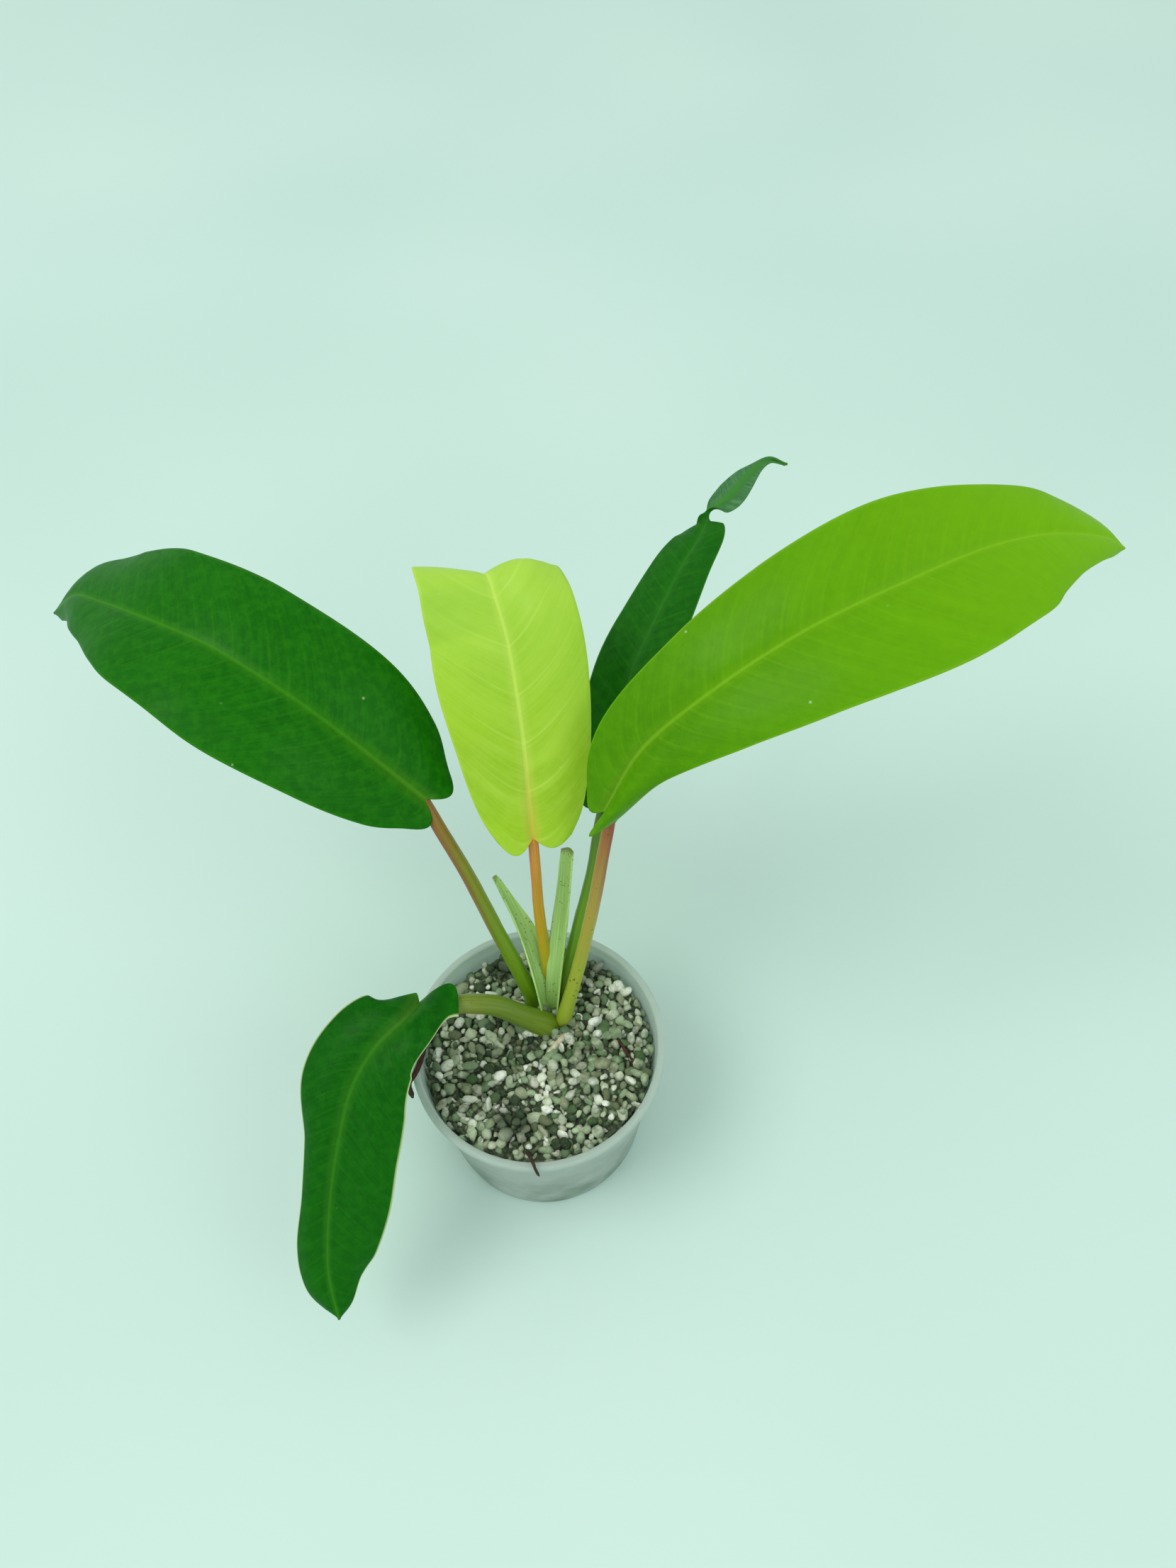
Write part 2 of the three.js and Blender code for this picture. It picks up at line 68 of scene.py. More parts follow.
# A node with its settings; each input is a value, or another node's output to link
def addNode(tree, kind, inputs=None, output=0, **settings):
    node = tree.nodes.new(kind)
    for key, value in settings.items():
        setattr(node, key, value)
    for socket, value in (inputs or {}).items():
        if isinstance(value, bpy.types.NodeSocket):
            tree.links.new(value, node.inputs[socket])
        else:
            node.inputs[socket].default_value = value
    return node.outputs[output] if len(node.outputs) else node


# An empty node tree with a geometry in and out, and one named input for each size or finish
def newTree(name, sizes):
    tree = bpy.data.node_groups.new(name, "GeometryNodeTree")
    tree.is_modifier = True
    tree.interface.new_socket("Geometry", in_out="INPUT", socket_type="NodeSocketGeometry")
    tree.interface.new_socket("Geometry", in_out="OUTPUT", socket_type="NodeSocketGeometry")
    for key, kind in sizes.items():
        tree.interface.new_socket(key, in_out="INPUT", socket_type="NodeSocket" + kind)
    return tree, tree.nodes.new("NodeGroupInput").outputs


# Runs a tree on a starting mesh and keeps the plain mesh that comes out
def grow(name, startMesh, tree, values):
    piece = bpy.data.objects.new(name, startMesh)
    scene.collection.objects.link(piece)
    modifier = piece.modifiers.new("grow", "NODES")
    modifier.node_group = tree
    for item in tree.interface.items_tree:
        if item.in_out == "INPUT" and item.name in values:
            modifier[item.identifier] = values[item.name]
    bpy.context.view_layer.update()
    evaluated = piece.evaluated_get(bpy.context.evaluated_depsgraph_get())
    grown = bpy.data.meshes.new_from_object(evaluated)
    piece.modifiers.clear()
    piece.data = grown
    grown.name = name
    bpy.data.meshes.remove(startMesh)
    return piece


# A finished piece rides on the plant's one body and stands for its CAD nodes
def finishPiece(piece, slot, *nodes):
    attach(piece, "root")
    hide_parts(*nodes)


# Stores one number or vector for each vertex
def setAttribute(mesh, name, values):
    values = np.asarray(values, np.float32)
    isVector = values.ndim == 2
    attribute = mesh.attributes.new(name, "FLOAT_VECTOR" if isVector else "FLOAT", "POINT")
    attribute.data.foreach_set("vector" if isVector else "value", values.ravel())


# This and the next three follow the same rules as the CAD part.
# A smooth curve through the points, sampled closely: points, directions and lengths from the start
def smoothCurve(points):
    p = np.array(points, float)
    p = np.vstack([2 * p[0] - p[1], p, 2 * p[-1] - p[-2]])
    t = np.linspace(0, 1, 80, endpoint=False)[:, None]
    dense = []
    for a, b, c, d in zip(p, p[1:], p[2:], p[3:]):
        v, w = (c - a) / 2, (d - b) / 2
        dense.append(b + v * t + (3 * (c - b) - 2 * v - w) * t ** 2 + (2 * (b - c) + v + w) * t ** 3)
    dense = np.vstack([*dense, p[-2:-1]])
    steps = np.linalg.norm(np.diff(dense, axis=0), axis=1)
    lengths = np.concatenate([[0], np.cumsum(steps)])
    directions = np.gradient(dense, lengths, axis=0)
    return dense, directions, lengths


def curveAt(curve, shares):
    dense, directions, lengths = curve
    at = np.asarray(shares) * lengths[-1]
    place = np.stack([np.interp(at, lengths, dense[:, k]) for k in range(3)], axis=-1)
    along = np.stack([np.interp(at, lengths, directions[:, k]) for k in range(3)], axis=-1)
    return place, along / np.linalg.norm(along, axis=-1, keepdims=True)


# The direction out of a surface's upper face at each share, square to the curve
def faceAt(face, shares, along):
    stations = [row[0] for row in face]
    hint = np.stack([np.interp(shares, stations, [row[1][k] for row in face]) for k in range(3)], axis=-1)
    up = hint - along * (hint * along).sum(-1, keepdims=True)
    return up / np.linalg.norm(up, axis=-1, keepdims=True)


# A flat curve through the points, held at its ends
def outlineAt(points, t):
    p = np.array(points, float)
    last = len(p) - 1
    place = np.clip(t, 0, 1) * last
    i = np.minimum(place.astype(int), last - 1)
    f = (place - i)[:, None]
    a, b, c, d = p[np.maximum(i - 1, 0)], p[i], p[i + 1], p[np.minimum(i + 2, last)]
    v, w = (c - a) / 2, (d - b) / 2
    return b + v * f + (3 * (c - b) - 2 * v - w) * f ** 2 + (2 * (b - c) + v + w) * f ** 3


# The starting grid of a blade: every vertex still lies on the midrib and carries what the tree needs to place it
def bladeGrid(name, blade, rows=132, columns=60):
    curve = smoothCurve(blade["midrib"])
    t = np.linspace(0, 1, rows + 1)
    outline = outlineAt(blade["widths"], t)
    shares = np.clip(outline[:, 0], 0, 1)
    place, along = curveAt(curve, shares)
    up = faceAt(blade["face"], shares, along)
    right = np.cross(along, up)
    x = np.linspace(-1, 1, columns + 1)
    v = np.sign(x) * np.abs(x) ** 1.4  # columns stand closer near the midrib
    side = np.tile(v, rows + 1)
    onLeft = side < 0
    each = lambda rowValues: np.repeat(rowValues, columns + 1, axis=0)
    half = np.where(onLeft, each(outline[:, 1]), each(outline[:, 2]))
    across = np.abs(side) * half
    distance = each(shares) * curve[2][-1]
    # side veins leave the midrib forwards and bend towards the tip; each half has a pattern of its own
    veinSlope, veinBend, halvesApart = 0.55, 0.014, 90.0
    phase = distance - veinSlope * across - veinBend * across ** 2
    flow = np.stack([phase, across * 1.2, np.where(onLeft, 0.0, halvesApart)], axis=-1)
    corner = np.arange((rows + 1) * (columns + 1)).reshape(rows + 1, columns + 1)
    faces = np.stack([corner[:-1, :-1], corner[:-1, 1:], corner[1:, 1:], corner[1:, :-1]], axis=-1).reshape(-1, 4)
    mesh = bpy.data.meshes.new(name + "Grid")
    mesh.from_pydata(((each(place) + plantAt) * mm).tolist(), [], faces.tolist())
    for key, values in {
        "share": each(shares), "side": side, "half": half * mm, "fromRib": across, "flow": flow,
        "along": each(along), "up": each(up), "right": each(right), "lobe": np.where(onLeft, *blade["lobes"]) * mm,
        "curl": np.where(onLeft, *blade["curl"]) * mm, "puff": np.where(onLeft, *blade["puff"]) * mm,
    }.items():
        setAttribute(mesh, key, values)
    return mesh


# Places the grid's vertices around the midrib and gives the sheet its thickness
def bladeTree():
    tree, size = newTree("bladeSurface", {
        "Fold": "Float", "Cup": "Float", "Wave Height": "Float", "Wave Count": "Float", "Groove Depth": "Float",
        "Groove Width": "Float", "Vein Spacing": "Float", "Vein Depth": "Float", "Thickness": "Float",
        "Rib Depth": "Float", "Upper Finish": "Material", "Under Finish": "Material"})
    add = partial(addNode, tree)
    share, side, half, lobe, curl, puff, fromRib = [
        add(namedAttribute, {0: key}, data_type="FLOAT")
        for key in ("share", "side", "half", "lobe", "curl", "puff", "fromRib")]
    along, up, right, flow = [
        add(namedAttribute, {0: key}, data_type="FLOAT_VECTOR")
        for key in ("along", "up", "right", "flow")]
    out = add(maths, {0: side}, operation="ABSOLUTE")
    across = add(maths, {0: out, 1: half}, operation="MULTIPLY")
    # across the blade
    level = add(maths, {0: size["Fold"]}, operation="COSINE")
    sideways = add(maths, {0: side, 1: half}, operation="MULTIPLY")
    sideways = add(maths, {0: sideways, 1: level}, operation="MULTIPLY")
    # up from it: fold, ripple, cupped margin and bulge
    slope = add(maths, {0: size["Fold"]}, operation="SINE")
    rise = add(maths, {0: across, 1: slope}, operation="MULTIPLY")
    turns = add(maths, {0: share, 1: size["Wave Count"]}, operation="MULTIPLY")
    turns = add(maths, {0: turns, 1: 2 * math.pi}, operation="MULTIPLY")
    ripple = add(maths, {0: turns}, operation="SINE")
    ripple = add(maths, {0: ripple, 1: size["Wave Height"]}, operation="MULTIPLY")
    ripple = add(maths, {0: ripple, 1: size["Cup"]}, operation="SUBTRACT")
    outSquare = add(maths, {0: out, 1: out}, operation="MULTIPLY")
    rise = add(maths, {0: ripple, 1: outSquare, 2: rise}, operation="MULTIPLY_ADD")
    domeAcross = add(maths, {0: out, 1: math.pi}, operation="MULTIPLY")
    domeAcross = add(maths, {0: domeAcross}, operation="SINE")
    domeAlong = add(maths, {0: share, 1: math.pi}, operation="MULTIPLY")
    domeAlong = add(maths, {0: domeAlong}, operation="SINE")
    dome = add(maths, {0: domeAcross, 1: domeAlong}, operation="MULTIPLY")
    rise = add(maths, {0: dome, 1: puff, 2: rise}, operation="MULTIPLY_ADD")
    # the groove over the midrib and the sunken side veins
    acrossSize = add(spread, {0: across, 1: 0.0, 2: size["Groove Width"], 3: 1.0, 4: 0.0},
                     interpolation_type="SMOOTHSTEP")
    thinning = add(spread, {0: share, 1: 0.0, 2: 1.0, 3: 1.0, 4: 0.25})
    groove = add(maths, {0: acrossSize, 1: thinning}, operation="MULTIPLY")
    groove = add(maths, {0: groove, 1: size["Groove Depth"]}, operation="MULTIPLY")
    phase = add(separate, {0: flow})
    apart = add(maths, {0: size["Vein Spacing"], 1: 0.5}, operation="MULTIPLY")
    fromVein = add(maths, {0: phase, 1: apart}, operation="PINGPONG")
    vein = add(spread, {0: fromVein, 1: 0.0, 2: 1.3, 3: 1.0, 4: 0.0}, interpolation_type="SMOOTHSTEP")
    fading = add(spread, {0: out, 1: 0.55, 2: 0.95, 3: 1.0, 4: 0.0})
    vein = add(maths, {0: vein, 1: fading}, operation="MULTIPLY")
    groove = add(maths, {0: vein, 1: size["Vein Depth"], 2: groove}, operation="MULTIPLY_ADD")
    rise = add(maths, {0: rise, 1: groove}, operation="SUBTRACT")
    # the two halves of the base hang back past the stalk
    hang = add(spread, {0: share, 1: 0.0, 2: 0.3, 3: 1.0, 4: 0.0})
    hang = add(maths, {0: hang, 1: 2.0}, operation="POWER")
    hang = add(maths, {0: hang, 1: domeAcross}, operation="MULTIPLY")
    rise = add(maths, {0: hang, 1: curl, 2: rise}, operation="MULTIPLY_ADD")
    hang = add(maths, {0: hang, 1: lobe}, operation="MULTIPLY")
    hang = add(maths, {0: hang, 1: -1.0}, operation="MULTIPLY")
    offset = add(vector, {0: right, 3: sideways}, operation="SCALE")
    lift = add(vector, {0: up, 3: rise}, operation="SCALE")
    back = add(vector, {0: along, 3: hang}, operation="SCALE")
    offset = add(vector, {0: offset, 1: lift}, operation="ADD")
    offset = add(vector, {0: offset, 1: back}, operation="ADD")
    surface = add(setPosition, {0: size["Geometry"], 3: offset})
    # thin at the margin, with the midrib standing out underneath
    edge = add(spread, {0: out, 1: 0.9, 2: 1.0, 3: 1.0, 4: 0.5})
    depth = add(maths, {0: size["Thickness"], 1: edge}, operation="MULTIPLY")
    rib = add(spread, {0: fromRib, 1: 0.0, 2: 3.2, 3: 1.0, 4: 0.0}, interpolation_type="SMOOTHSTEP")
    rib = add(maths, {0: rib, 1: thinning}, operation="MULTIPLY")
    depth = add(maths, {0: rib, 1: size["Rib Depth"], 2: depth}, operation="MULTIPLY_ADD")
    depth = add(maths, {0: depth, 1: -1.0}, operation="MULTIPLY")
    pushed = add("GeometryNodeExtrudeMesh", {0: surface, 3: depth, 4: False})
    marked = add(storeAttribute, {0: pushed, 2: "underside", 3: pushed.node.outputs[1]}, data_type="BOOLEAN",
                 domain="FACE")
    turned = add("GeometryNodeFlipFaces", {0: marked})
    joined = tree.nodes.new(joinPieces)
    tree.links.new(turned, joined.inputs[0])
    tree.links.new(surface, joined.inputs[0])
    closed = add("GeometryNodeMergeByDistance", {0: joined.outputs[0], 2: 0.01 * mm})
    smooth = add(shadeSmooth, {0: closed})
    real = add(realize, {0: smooth})
    upper = add(setMaterial, {0: real, 2: size["Upper Finish"]})
    isUnder = add(namedAttribute, {0: "underside"}, data_type="BOOLEAN")
    under = add(setMaterial, {0: upper, 1: isUnder, 2: size["Under Finish"]})
    add("NodeGroupOutput", {0: under})
    return tree


# A path as a line of vertices that carries its thickness and its share of the way
def pathLine(name, points, radii, shares):
    mesh = bpy.data.meshes.new(name + "Line")
    mesh.from_pydata((np.asarray(points) * mm).tolist(), [(i, i + 1) for i in range(len(points) - 1)], [])
    setAttribute(mesh, "thick", np.asarray(radii) * mm)
    setAttribute(mesh, "share", shares)
    return mesh


# A round stem along a path, faintly ridged and knobbly
def stalkTree():
    tree, size = newTree("stalkAlongPath", {
        "Sides": "Int", "Ridges": "Float", "Ridge Height": "Float", "Knob Size": "Float", "Knob Height": "Float",
        "Finish": "Material"})
    add = partial(addNode, tree)
    line = add("GeometryNodeMeshToCurve", {0: size["Geometry"]})
    ring = add("GeometryNodeCurvePrimitiveCircle", {0: size["Sides"], 4: 1.0}, mode="RADIUS")
    ring = add(storeAttribute, {0: ring, 2: "around", 3: add("GeometryNodeSplineParameter")}, data_type="FLOAT",
               domain="POINT")
    thick = add(namedAttribute, {0: "thick"}, data_type="FLOAT")
    tube = add("GeometryNodeCurveToMesh", {0: line, 1: ring, 2: thick, 3: True})
    around = add(namedAttribute, {0: "around"}, data_type="FLOAT")
    turn = add(maths, {0: around, 1: size["Ridges"]}, operation="MULTIPLY")
    turn = add(maths, {0: turn, 1: 2 * math.pi}, operation="MULTIPLY")
    ridge = add(maths, {0: turn}, operation="COSINE")
    ridge = add(maths, {0: ridge, 1: size["Ridge Height"]}, operation="MULTIPLY")
    knobScale = add(maths, {0: 1.0, 1: size["Knob Size"]}, operation="DIVIDE")
    knob = add(noise, {2: knobScale, 3: 1.0})
    knob = add(maths, {0: knob, 1: 0.5}, operation="SUBTRACT")
    lift = add(maths, {0: knob, 1: size["Knob Height"], 2: ridge}, operation="MULTIPLY_ADD")
    normal = add(surfaceNormal)
    offset = add(vector, {0: normal, 3: lift}, operation="SCALE")
    shaped = add(setPosition, {0: tube, 3: offset})
    smooth = add(shadeSmooth, {0: shaped})
    real = add(realize, {0: smooth})
    add("NodeGroupOutput", {0: add(setMaterial, {0: real, 2: size["Finish"]})})
    return tree


# A material with a Principled shader whose sockets are constants; returns its tree and shader
def newMaterial(name, **sockets):
    material = bpy.data.materials.new(name)
    material.use_nodes = True
    tree = material.node_tree
    shader = tree.nodes["Principled BSDF"]
    for key, value in sockets.items():
        shader.inputs[key.replace("_", " ")].default_value = value
    return material, tree, shader


def link(tree, source, shader, socket):
    tree.links.new(source, shader.inputs[socket])


# Fills a colour ramp from shares and hex colours
def setStops(ramp, tones):
    stops = ramp.node.color_ramp.elements
    while len(stops) < len(tones):
        stops.new(0.5)
    for stop, (at, tone) in zip(stops, tones):
        stop.position, stop.color = at, paint(tone)


# Where small dots lie: one in each cell `apart` mm wide, and only in some patches of `patch` mm
def dotMask(tree, place, apart, dot, patch, patchRange, amount):
    add = partial(addNode, tree)
    near = add(cells, {"Vector": place, "Scale": 1 / (apart * mm)})
    near = add(spread, {0: near, 1: dot[0], 2: dot[1], 3: 1.0, 4: 0.0})
    some = add(noise, {"Vector": place, "Scale": 1 / (patch * mm)})
    some = add(spread, {0: some, 1: patchRange[0], 2: patchRange[1], 3: 0.0, 4: amount})
    return add(maths, {0: near, 1: some}, operation="MULTIPLY")


leafDepth = {"Subsurface_Radius": (1.0, 1.6, 0.3), "Subsurface_Scale": 1.2 * mm}  # green light goes deepest


# Leaf with a waxy cuticle: a broad soft gloss over green that is streaked along the side veins
def leafMaterial(name, look):
    material, tree, shader = newMaterial(
        name, IOR=1.45, Specular_IOR_Level=everyLeaf["gloss"], Coat_Weight=everyLeaf["wax"], Coat_Roughness=0.3,
        Subsurface_Weight=look["glow"], **leafDepth)
    add = partial(addNode, tree)
    flow = add(readAttribute, output="Vector", attribute_name="flow")
    share = add(readAttribute, output="Fac", attribute_name="share")
    side = add(readAttribute, output="Fac", attribute_name="side")
    fromRib = add(readAttribute, output="Fac", attribute_name="fromRib")
    place = add(coordinates, output="Object")
    # cell rows about 1 mm wide that follow the side veins, then bands about 8 mm wide
    fineAt = add(mapping, {"Vector": flow, "Scale": (0.95, 0.05, 1)})
    fine = add(noise, {"Vector": fineAt, "Scale": 1.0, "Detail": 3.0})
    bandAt = add(mapping, {"Vector": flow, "Scale": (0.13, 0.02, 1)})
    band = add(noise, {"Vector": bandAt, "Scale": 1.0, "Detail": 2.0})
    cloud = add(noise, {"Vector": place, "Scale": 1 / 0.03, "Detail": 2.0})
    light = add(spread, {0: band, 1: 0.3, 2: 0.7, 3: 0.15, 4: 0.75})
    colour = add(mix, {0: light, 6: paint(look["deep"]), 7: paint(look["light"])}, output=2, data_type="RGBA")
    cloudy = add(spread, {0: cloud, 1: 0.4, 2: 0.7, 3: 0.0, 4: 0.75})
    # blistered tissue between the veins, a couple of millimetres across
    blister = add(noise, {"Vector": place, "Scale": 1 / 0.0035, "Detail": 3.0, "Roughness": 0.65})
    mottle = add(spread, {0: blister, 1: 0.42, 2: 0.62, 3: 0.0, 4: look["mottle"]})
    streak = add(spread, {0: fine, 1: 0.4, 2: 0.75, 3: 0.0, 4: look["streaks"]})
    # towards the tip
    tipward = add(spread, {0: share, 1: 0.2, 2: 1.0, 3: 0.0, 4: look["tipShare"]})
    # side veins: thin lines a vein spacing apart
    phase = add(separate, {0: flow})
    fromVein = add(maths, {0: phase, 1: look["veinSpacing"] / 2}, operation="PINGPONG")
    vein = add(spread, {0: fromVein, 1: 0.1, 2: 0.8, 3: look["veins"], 4: 0.0}, interpolation_type="SMOOTHSTEP")
    out = add(maths, {0: side}, operation="ABSOLUTE")
    veinFade = add(spread, {0: out, 1: 0.3, 2: 0.9, 3: 1.0, 4: 0.1})
    vein = add(maths, {0: vein, 1: veinFade}, operation="MULTIPLY")
    # the midrib, about 3 mm wide at the stalk and a hair at the tip, with a soft edge
    ribWidth = add(spread, {0: share, 1: 0.0, 2: 1.0, 3: look["ribWidth"], 4: 0.35})
    ribAt = add(maths, {0: fromRib, 1: ribWidth}, operation="DIVIDE")
    rib = add(spread, {0: ribAt, 1: 0.25, 2: 1.0, 3: look["ribStrength"], 4: 0.0}, interpolation_type="SMOOTHSTEP")
    ribFoot = add(spread, {0: share, 1: 0.0, 2: 0.22, 3: 0.0, 4: 1.0})
    ribColour = add(mix, {0: ribFoot, 6: paint(look["ribFoot"]), 7: paint(look["rib"])}, output=2, data_type="RGBA")
    halo = add(spread, {0: ribAt, 1: 0.8, 2: 4.0, 3: look["halo"], 4: 0.0}, interpolation_type="SMOOTHSTEP")
    # the margin, half a millimetre wide
    marginFrom = add(maths, {0: 1.0, 1: out}, operation="SUBTRACT")
    marginMask = add(spread, {0: marginFrom, 1: 0.008, 2: 0.035, 3: look["margins"], 4: 0.0})
    # pale specks of dried water, each under a millimetre
    speck = dotMask(tree, place, 9, (0.03, 0.07), 20, (0.56, 0.62), look["specks"])
    layers = [(cloudy, paint(look["cloud"])), (mottle, paint(look["streak"])), (streak, paint(look["streak"])),
              (tipward, paint(look["tip"])), (vein, paint(look["vein"])), (rib, ribColour), (halo, ribColour),
              (marginMask, paint(look["margin"])), (speck, paint("#e8f2d8"))]
    for mask, shade in layers:
        colour = add(mix, {0: mask, 6: colour, 7: shade}, output=2, data_type="RGBA")
    link(tree, colour, shader, "Base Color")
    gloss = add(spread, {0: cloud, 1: 0.3, 2: 0.7, 3: everyLeaf["rough"] - 0.05, 4: everyLeaf["rough"] + 0.08})
    link(tree, gloss, shader, "Roughness")
    relief = add(maths, {0: fine, 1: 0.4, 2: blister}, operation="MULTIPLY_ADD")
    bump = add(bumps, {"Height": relief, "Strength": 0.5, "Distance": 0.25 * mm})
    link(tree, bump, shader, "Normal")
    return material


# Underside of a leaf: no wax, paler and duller, with a net of fine veins
def underMaterial(name, look):
    material, tree, shader = newMaterial(name, Roughness=0.55, IOR=1.4, Subsurface_Weight=look["glow"], **leafDepth)
    add = partial(addNode, tree)
    flow = add(readAttribute, output="Vector", attribute_name="flow")
    fromRib = add(readAttribute, output="Fac", attribute_name="fromRib")
    place = add(coordinates, output="Object")
    fineAt = add(mapping, {"Vector": flow, "Scale": (0.7, 0.06, 1)})
    fine = add(noise, {"Vector": fineAt, "Scale": 1.0, "Detail": 3.0})
    net = add(cells, {"Vector": place, "Scale": 1 / 0.0025}, feature="DISTANCE_TO_EDGE")
    netLine = add(spread, {0: net, 1: 0.02, 2: 0.12, 3: 0.35, 4: 0.0})
    light = add(spread, {0: fine, 1: 0.35, 2: 0.7, 3: 0.0, 4: 1.0})
    colour = add(mix, {0: light, 6: paint(look["under"]), 7: paint(look["underLight"])}, output=2, data_type="RGBA")
    rib = add(spread, {0: fromRib, 1: 0.8, 2: 2.2, 3: 0.9, 4: 0.0}, interpolation_type="SMOOTHSTEP")
    layers = [(netLine, paint(look["underLight"])), (rib, paint(look["rib"]))]
    for mask, shade in layers:
        colour = add(mix, {0: mask, 6: colour, 7: shade}, output=2, data_type="RGBA")
    link(tree, colour, shader, "Base Color")
    bump = add(bumps, {"Height": netLine, "Strength": 0.4, "Distance": 0.2 * mm})
    link(tree, bump, shader, "Normal")
    return material


# Leaf stalk: smooth and juicy, colour changes from foot to blade and runs in long streaks
def stalkMaterial(name, look):
    material, tree, shader = newMaterial(
        name, Roughness=0.38, IOR=1.42, Coat_Weight=0.12, Coat_Roughness=0.25, Subsurface_Weight=0.15,
        Subsurface_Radius=(1.0, 1.2, 0.3), Subsurface_Scale=1 * mm)
    add = partial(addNode, tree)
    share = add(readAttribute, output="Fac", attribute_name="share")
    around = add(readAttribute, output="Fac", attribute_name="around")
    place = add(coordinates, output="Object")
    normal = add(coordinates, output="Normal")
    ramp = add(colourRamp, {0: share})
    setStops(ramp, look["colours"])
    # streaks half a millimetre wide and some centimetres long
    turn = add(maths, {0: around, 1: 2 * math.pi}, operation="MULTIPLY")
    sine = add(maths, {0: turn}, operation="SINE")
    cosine = add(maths, {0: turn}, operation="COSINE")
    wrapped = add(combine, {0: cosine, 1: sine, 2: share})
    streakAt = add(mapping, {"Vector": wrapped, "Scale": (5, 5, 4)})
    streak = add(noise, {"Vector": streakAt, "Scale": 1.0, "Detail": 4.0})
    tone = add(spread, {0: streak, 1: 0.42, 2: 0.7, 3: 0.0, 4: look["streaks"]})
    # one side is flushed red
    facing = add(vector, {0: normal, 1: look["flushSide"]}, output=1, operation="DOT_PRODUCT")
    flush = add(spread, {0: facing, 1: 0.35, 2: 0.95, 3: 0.0, 4: 1.0})
    flushAlong = add(spread, {0: share, 1: look["flushFrom"], 2: look["flushFrom"] + 0.35, 3: 0.0, 4: look["flush"]})
    flush = add(maths, {0: flush, 1: flushAlong}, operation="MULTIPLY")
    # brown freckles
    freckle = dotMask(tree, place, 2.2, (0.1, 0.2), 12, (0.5, 0.6), look["freckles"])
    colour = ramp
    layers = [(tone, paint(look["streak"])), (flush, paint(look["flushColour"])), (freckle, paint("#4a3a1c"))]
    for mask, shade in layers:
        colour = add(mix, {0: mask, 6: colour, 7: shade}, output=2, data_type="RGBA")
    link(tree, colour, shader, "Base Color")
    bump = add(bumps, {"Height": streak, "Strength": 0.35, "Distance": 0.2 * mm})
    link(tree, bump, shader, "Normal")
    return material


# Root: dry brown bark, dull and cracked across
def rootMaterial(name, deep, light):
    material, tree, shader = newMaterial(name, Roughness=0.75)
    add = partial(addNode, tree)
    place = add(coordinates, output="Object")
    bark = add(noise, {"Vector": place, "Scale": 1 / 0.0015, "Detail": 4.0})
    tone = add(spread, {0: bark, 1: 0.35, 2: 0.7, 3: 0.0, 4: 1.0})
    colour = add(mix, {0: tone, 6: paint(deep), 7: paint(light)}, output=2, data_type="RGBA")
    link(tree, colour, shader, "Base Color")
    bump = add(bumps, {"Height": bark, "Strength": 0.7, "Distance": 0.3 * mm})
    link(tree, bump, shader, "Normal")
    return material


# Pumice: matt, porous stone, each a shade of its own, with algae in patches
def pumiceMaterial():
    material, tree, shader = newMaterial("crushed pumice", Roughness=0.92, IOR=1.45)
    add = partial(addNode, tree)
    tint = add(readAttribute, output="Fac", attribute_name="tint")
    place = add(coordinates, output="Object")
    ramp = add(colourRamp, {0: tint})
    setStops(ramp, gravel["tones"])
    # grains and pores under a millimetre
    grain = add(noise, {"Vector": place, "Scale": 1 / 0.0012, "Detail": 3.0})
    dirty = add(spread, {0: grain, 1: 0.5, 2: 0.75, 3: 0.0, 4: 0.55})
    # algae in patches a few centimetres wide, broken up stone by stone
    patch = add(noise, {"Vector": place, "Scale": 1 / 0.026, "Detail": 1.0})
    perStone = add(maths, {0: tint, 1: 7.31}, operation="MULTIPLY")
    perStone = add(maths, {0: perStone}, operation="FRACT")
    wet = add(maths, {0: perStone, 1: 0.35, 2: patch}, operation="MULTIPLY_ADD")
    moss = add(spread, {0: wet, 1: 0.55, 2: 0.85, 3: 0.0, 4: 0.8})
    broken = add(noise, {"Vector": place, "Scale": 1 / 0.0035, "Detail": 2.0})
    broken = add(spread, {0: broken, 1: 0.35, 2: 0.6, 3: 0.35, 4: 1.0})
    moss = add(maths, {0: moss, 1: broken}, operation="MULTIPLY")
    # a fifth of the stones are rusty, one in a hundred has fresh green algae
    rusty = add(maths, {0: perStone, 1: 0.8}, operation="GREATER_THAN")
    rusty = add(maths, {0: rusty, 1: 0.3}, operation="MULTIPLY")
    fresh = add(maths, {0: perStone, 1: 0.01}, operation="LESS_THAN")
    fresh = add(maths, {0: fresh, 1: 0.55}, operation="MULTIPLY")
    colour = ramp
    layers = [(dirty, paint(gravel["dirt"])), (moss, paint(gravel["moss"])), (rusty, paint(gravel["rust"])),
              (fresh, paint(gravel["freshAlgae"]))]
    # painted shade: dark patches on the stones under the overhanging leaves, fading out from each centre
    for shadeCentre, size in gravel["shadeUnderLeaves"]:
        away = add(vector, {0: place, 1: [v * mm for v in shadeCentre]}, output=1, operation="DISTANCE")
        damp = add(spread, {0: away, 1: 0.25 * size * mm, 2: size * mm, 3: 0.75, 4: 0.0},
                   interpolation_type="SMOOTHSTEP")
        layers.append((damp, paint(gravel["damp"])))
    for mask, shade in layers:
        colour = add(mix, {0: mask, 6: colour, 7: shade}, output=2, data_type="RGBA")
    link(tree, colour, shader, "Base Color")
    pores = add(cells, {"Vector": place, "Scale": 1 / 0.0009})
    bump = add(bumps, {"Height": pores, "Strength": 0.5, "Distance": 0.3 * mm})
    link(tree, bump, shader, "Normal")
    return material


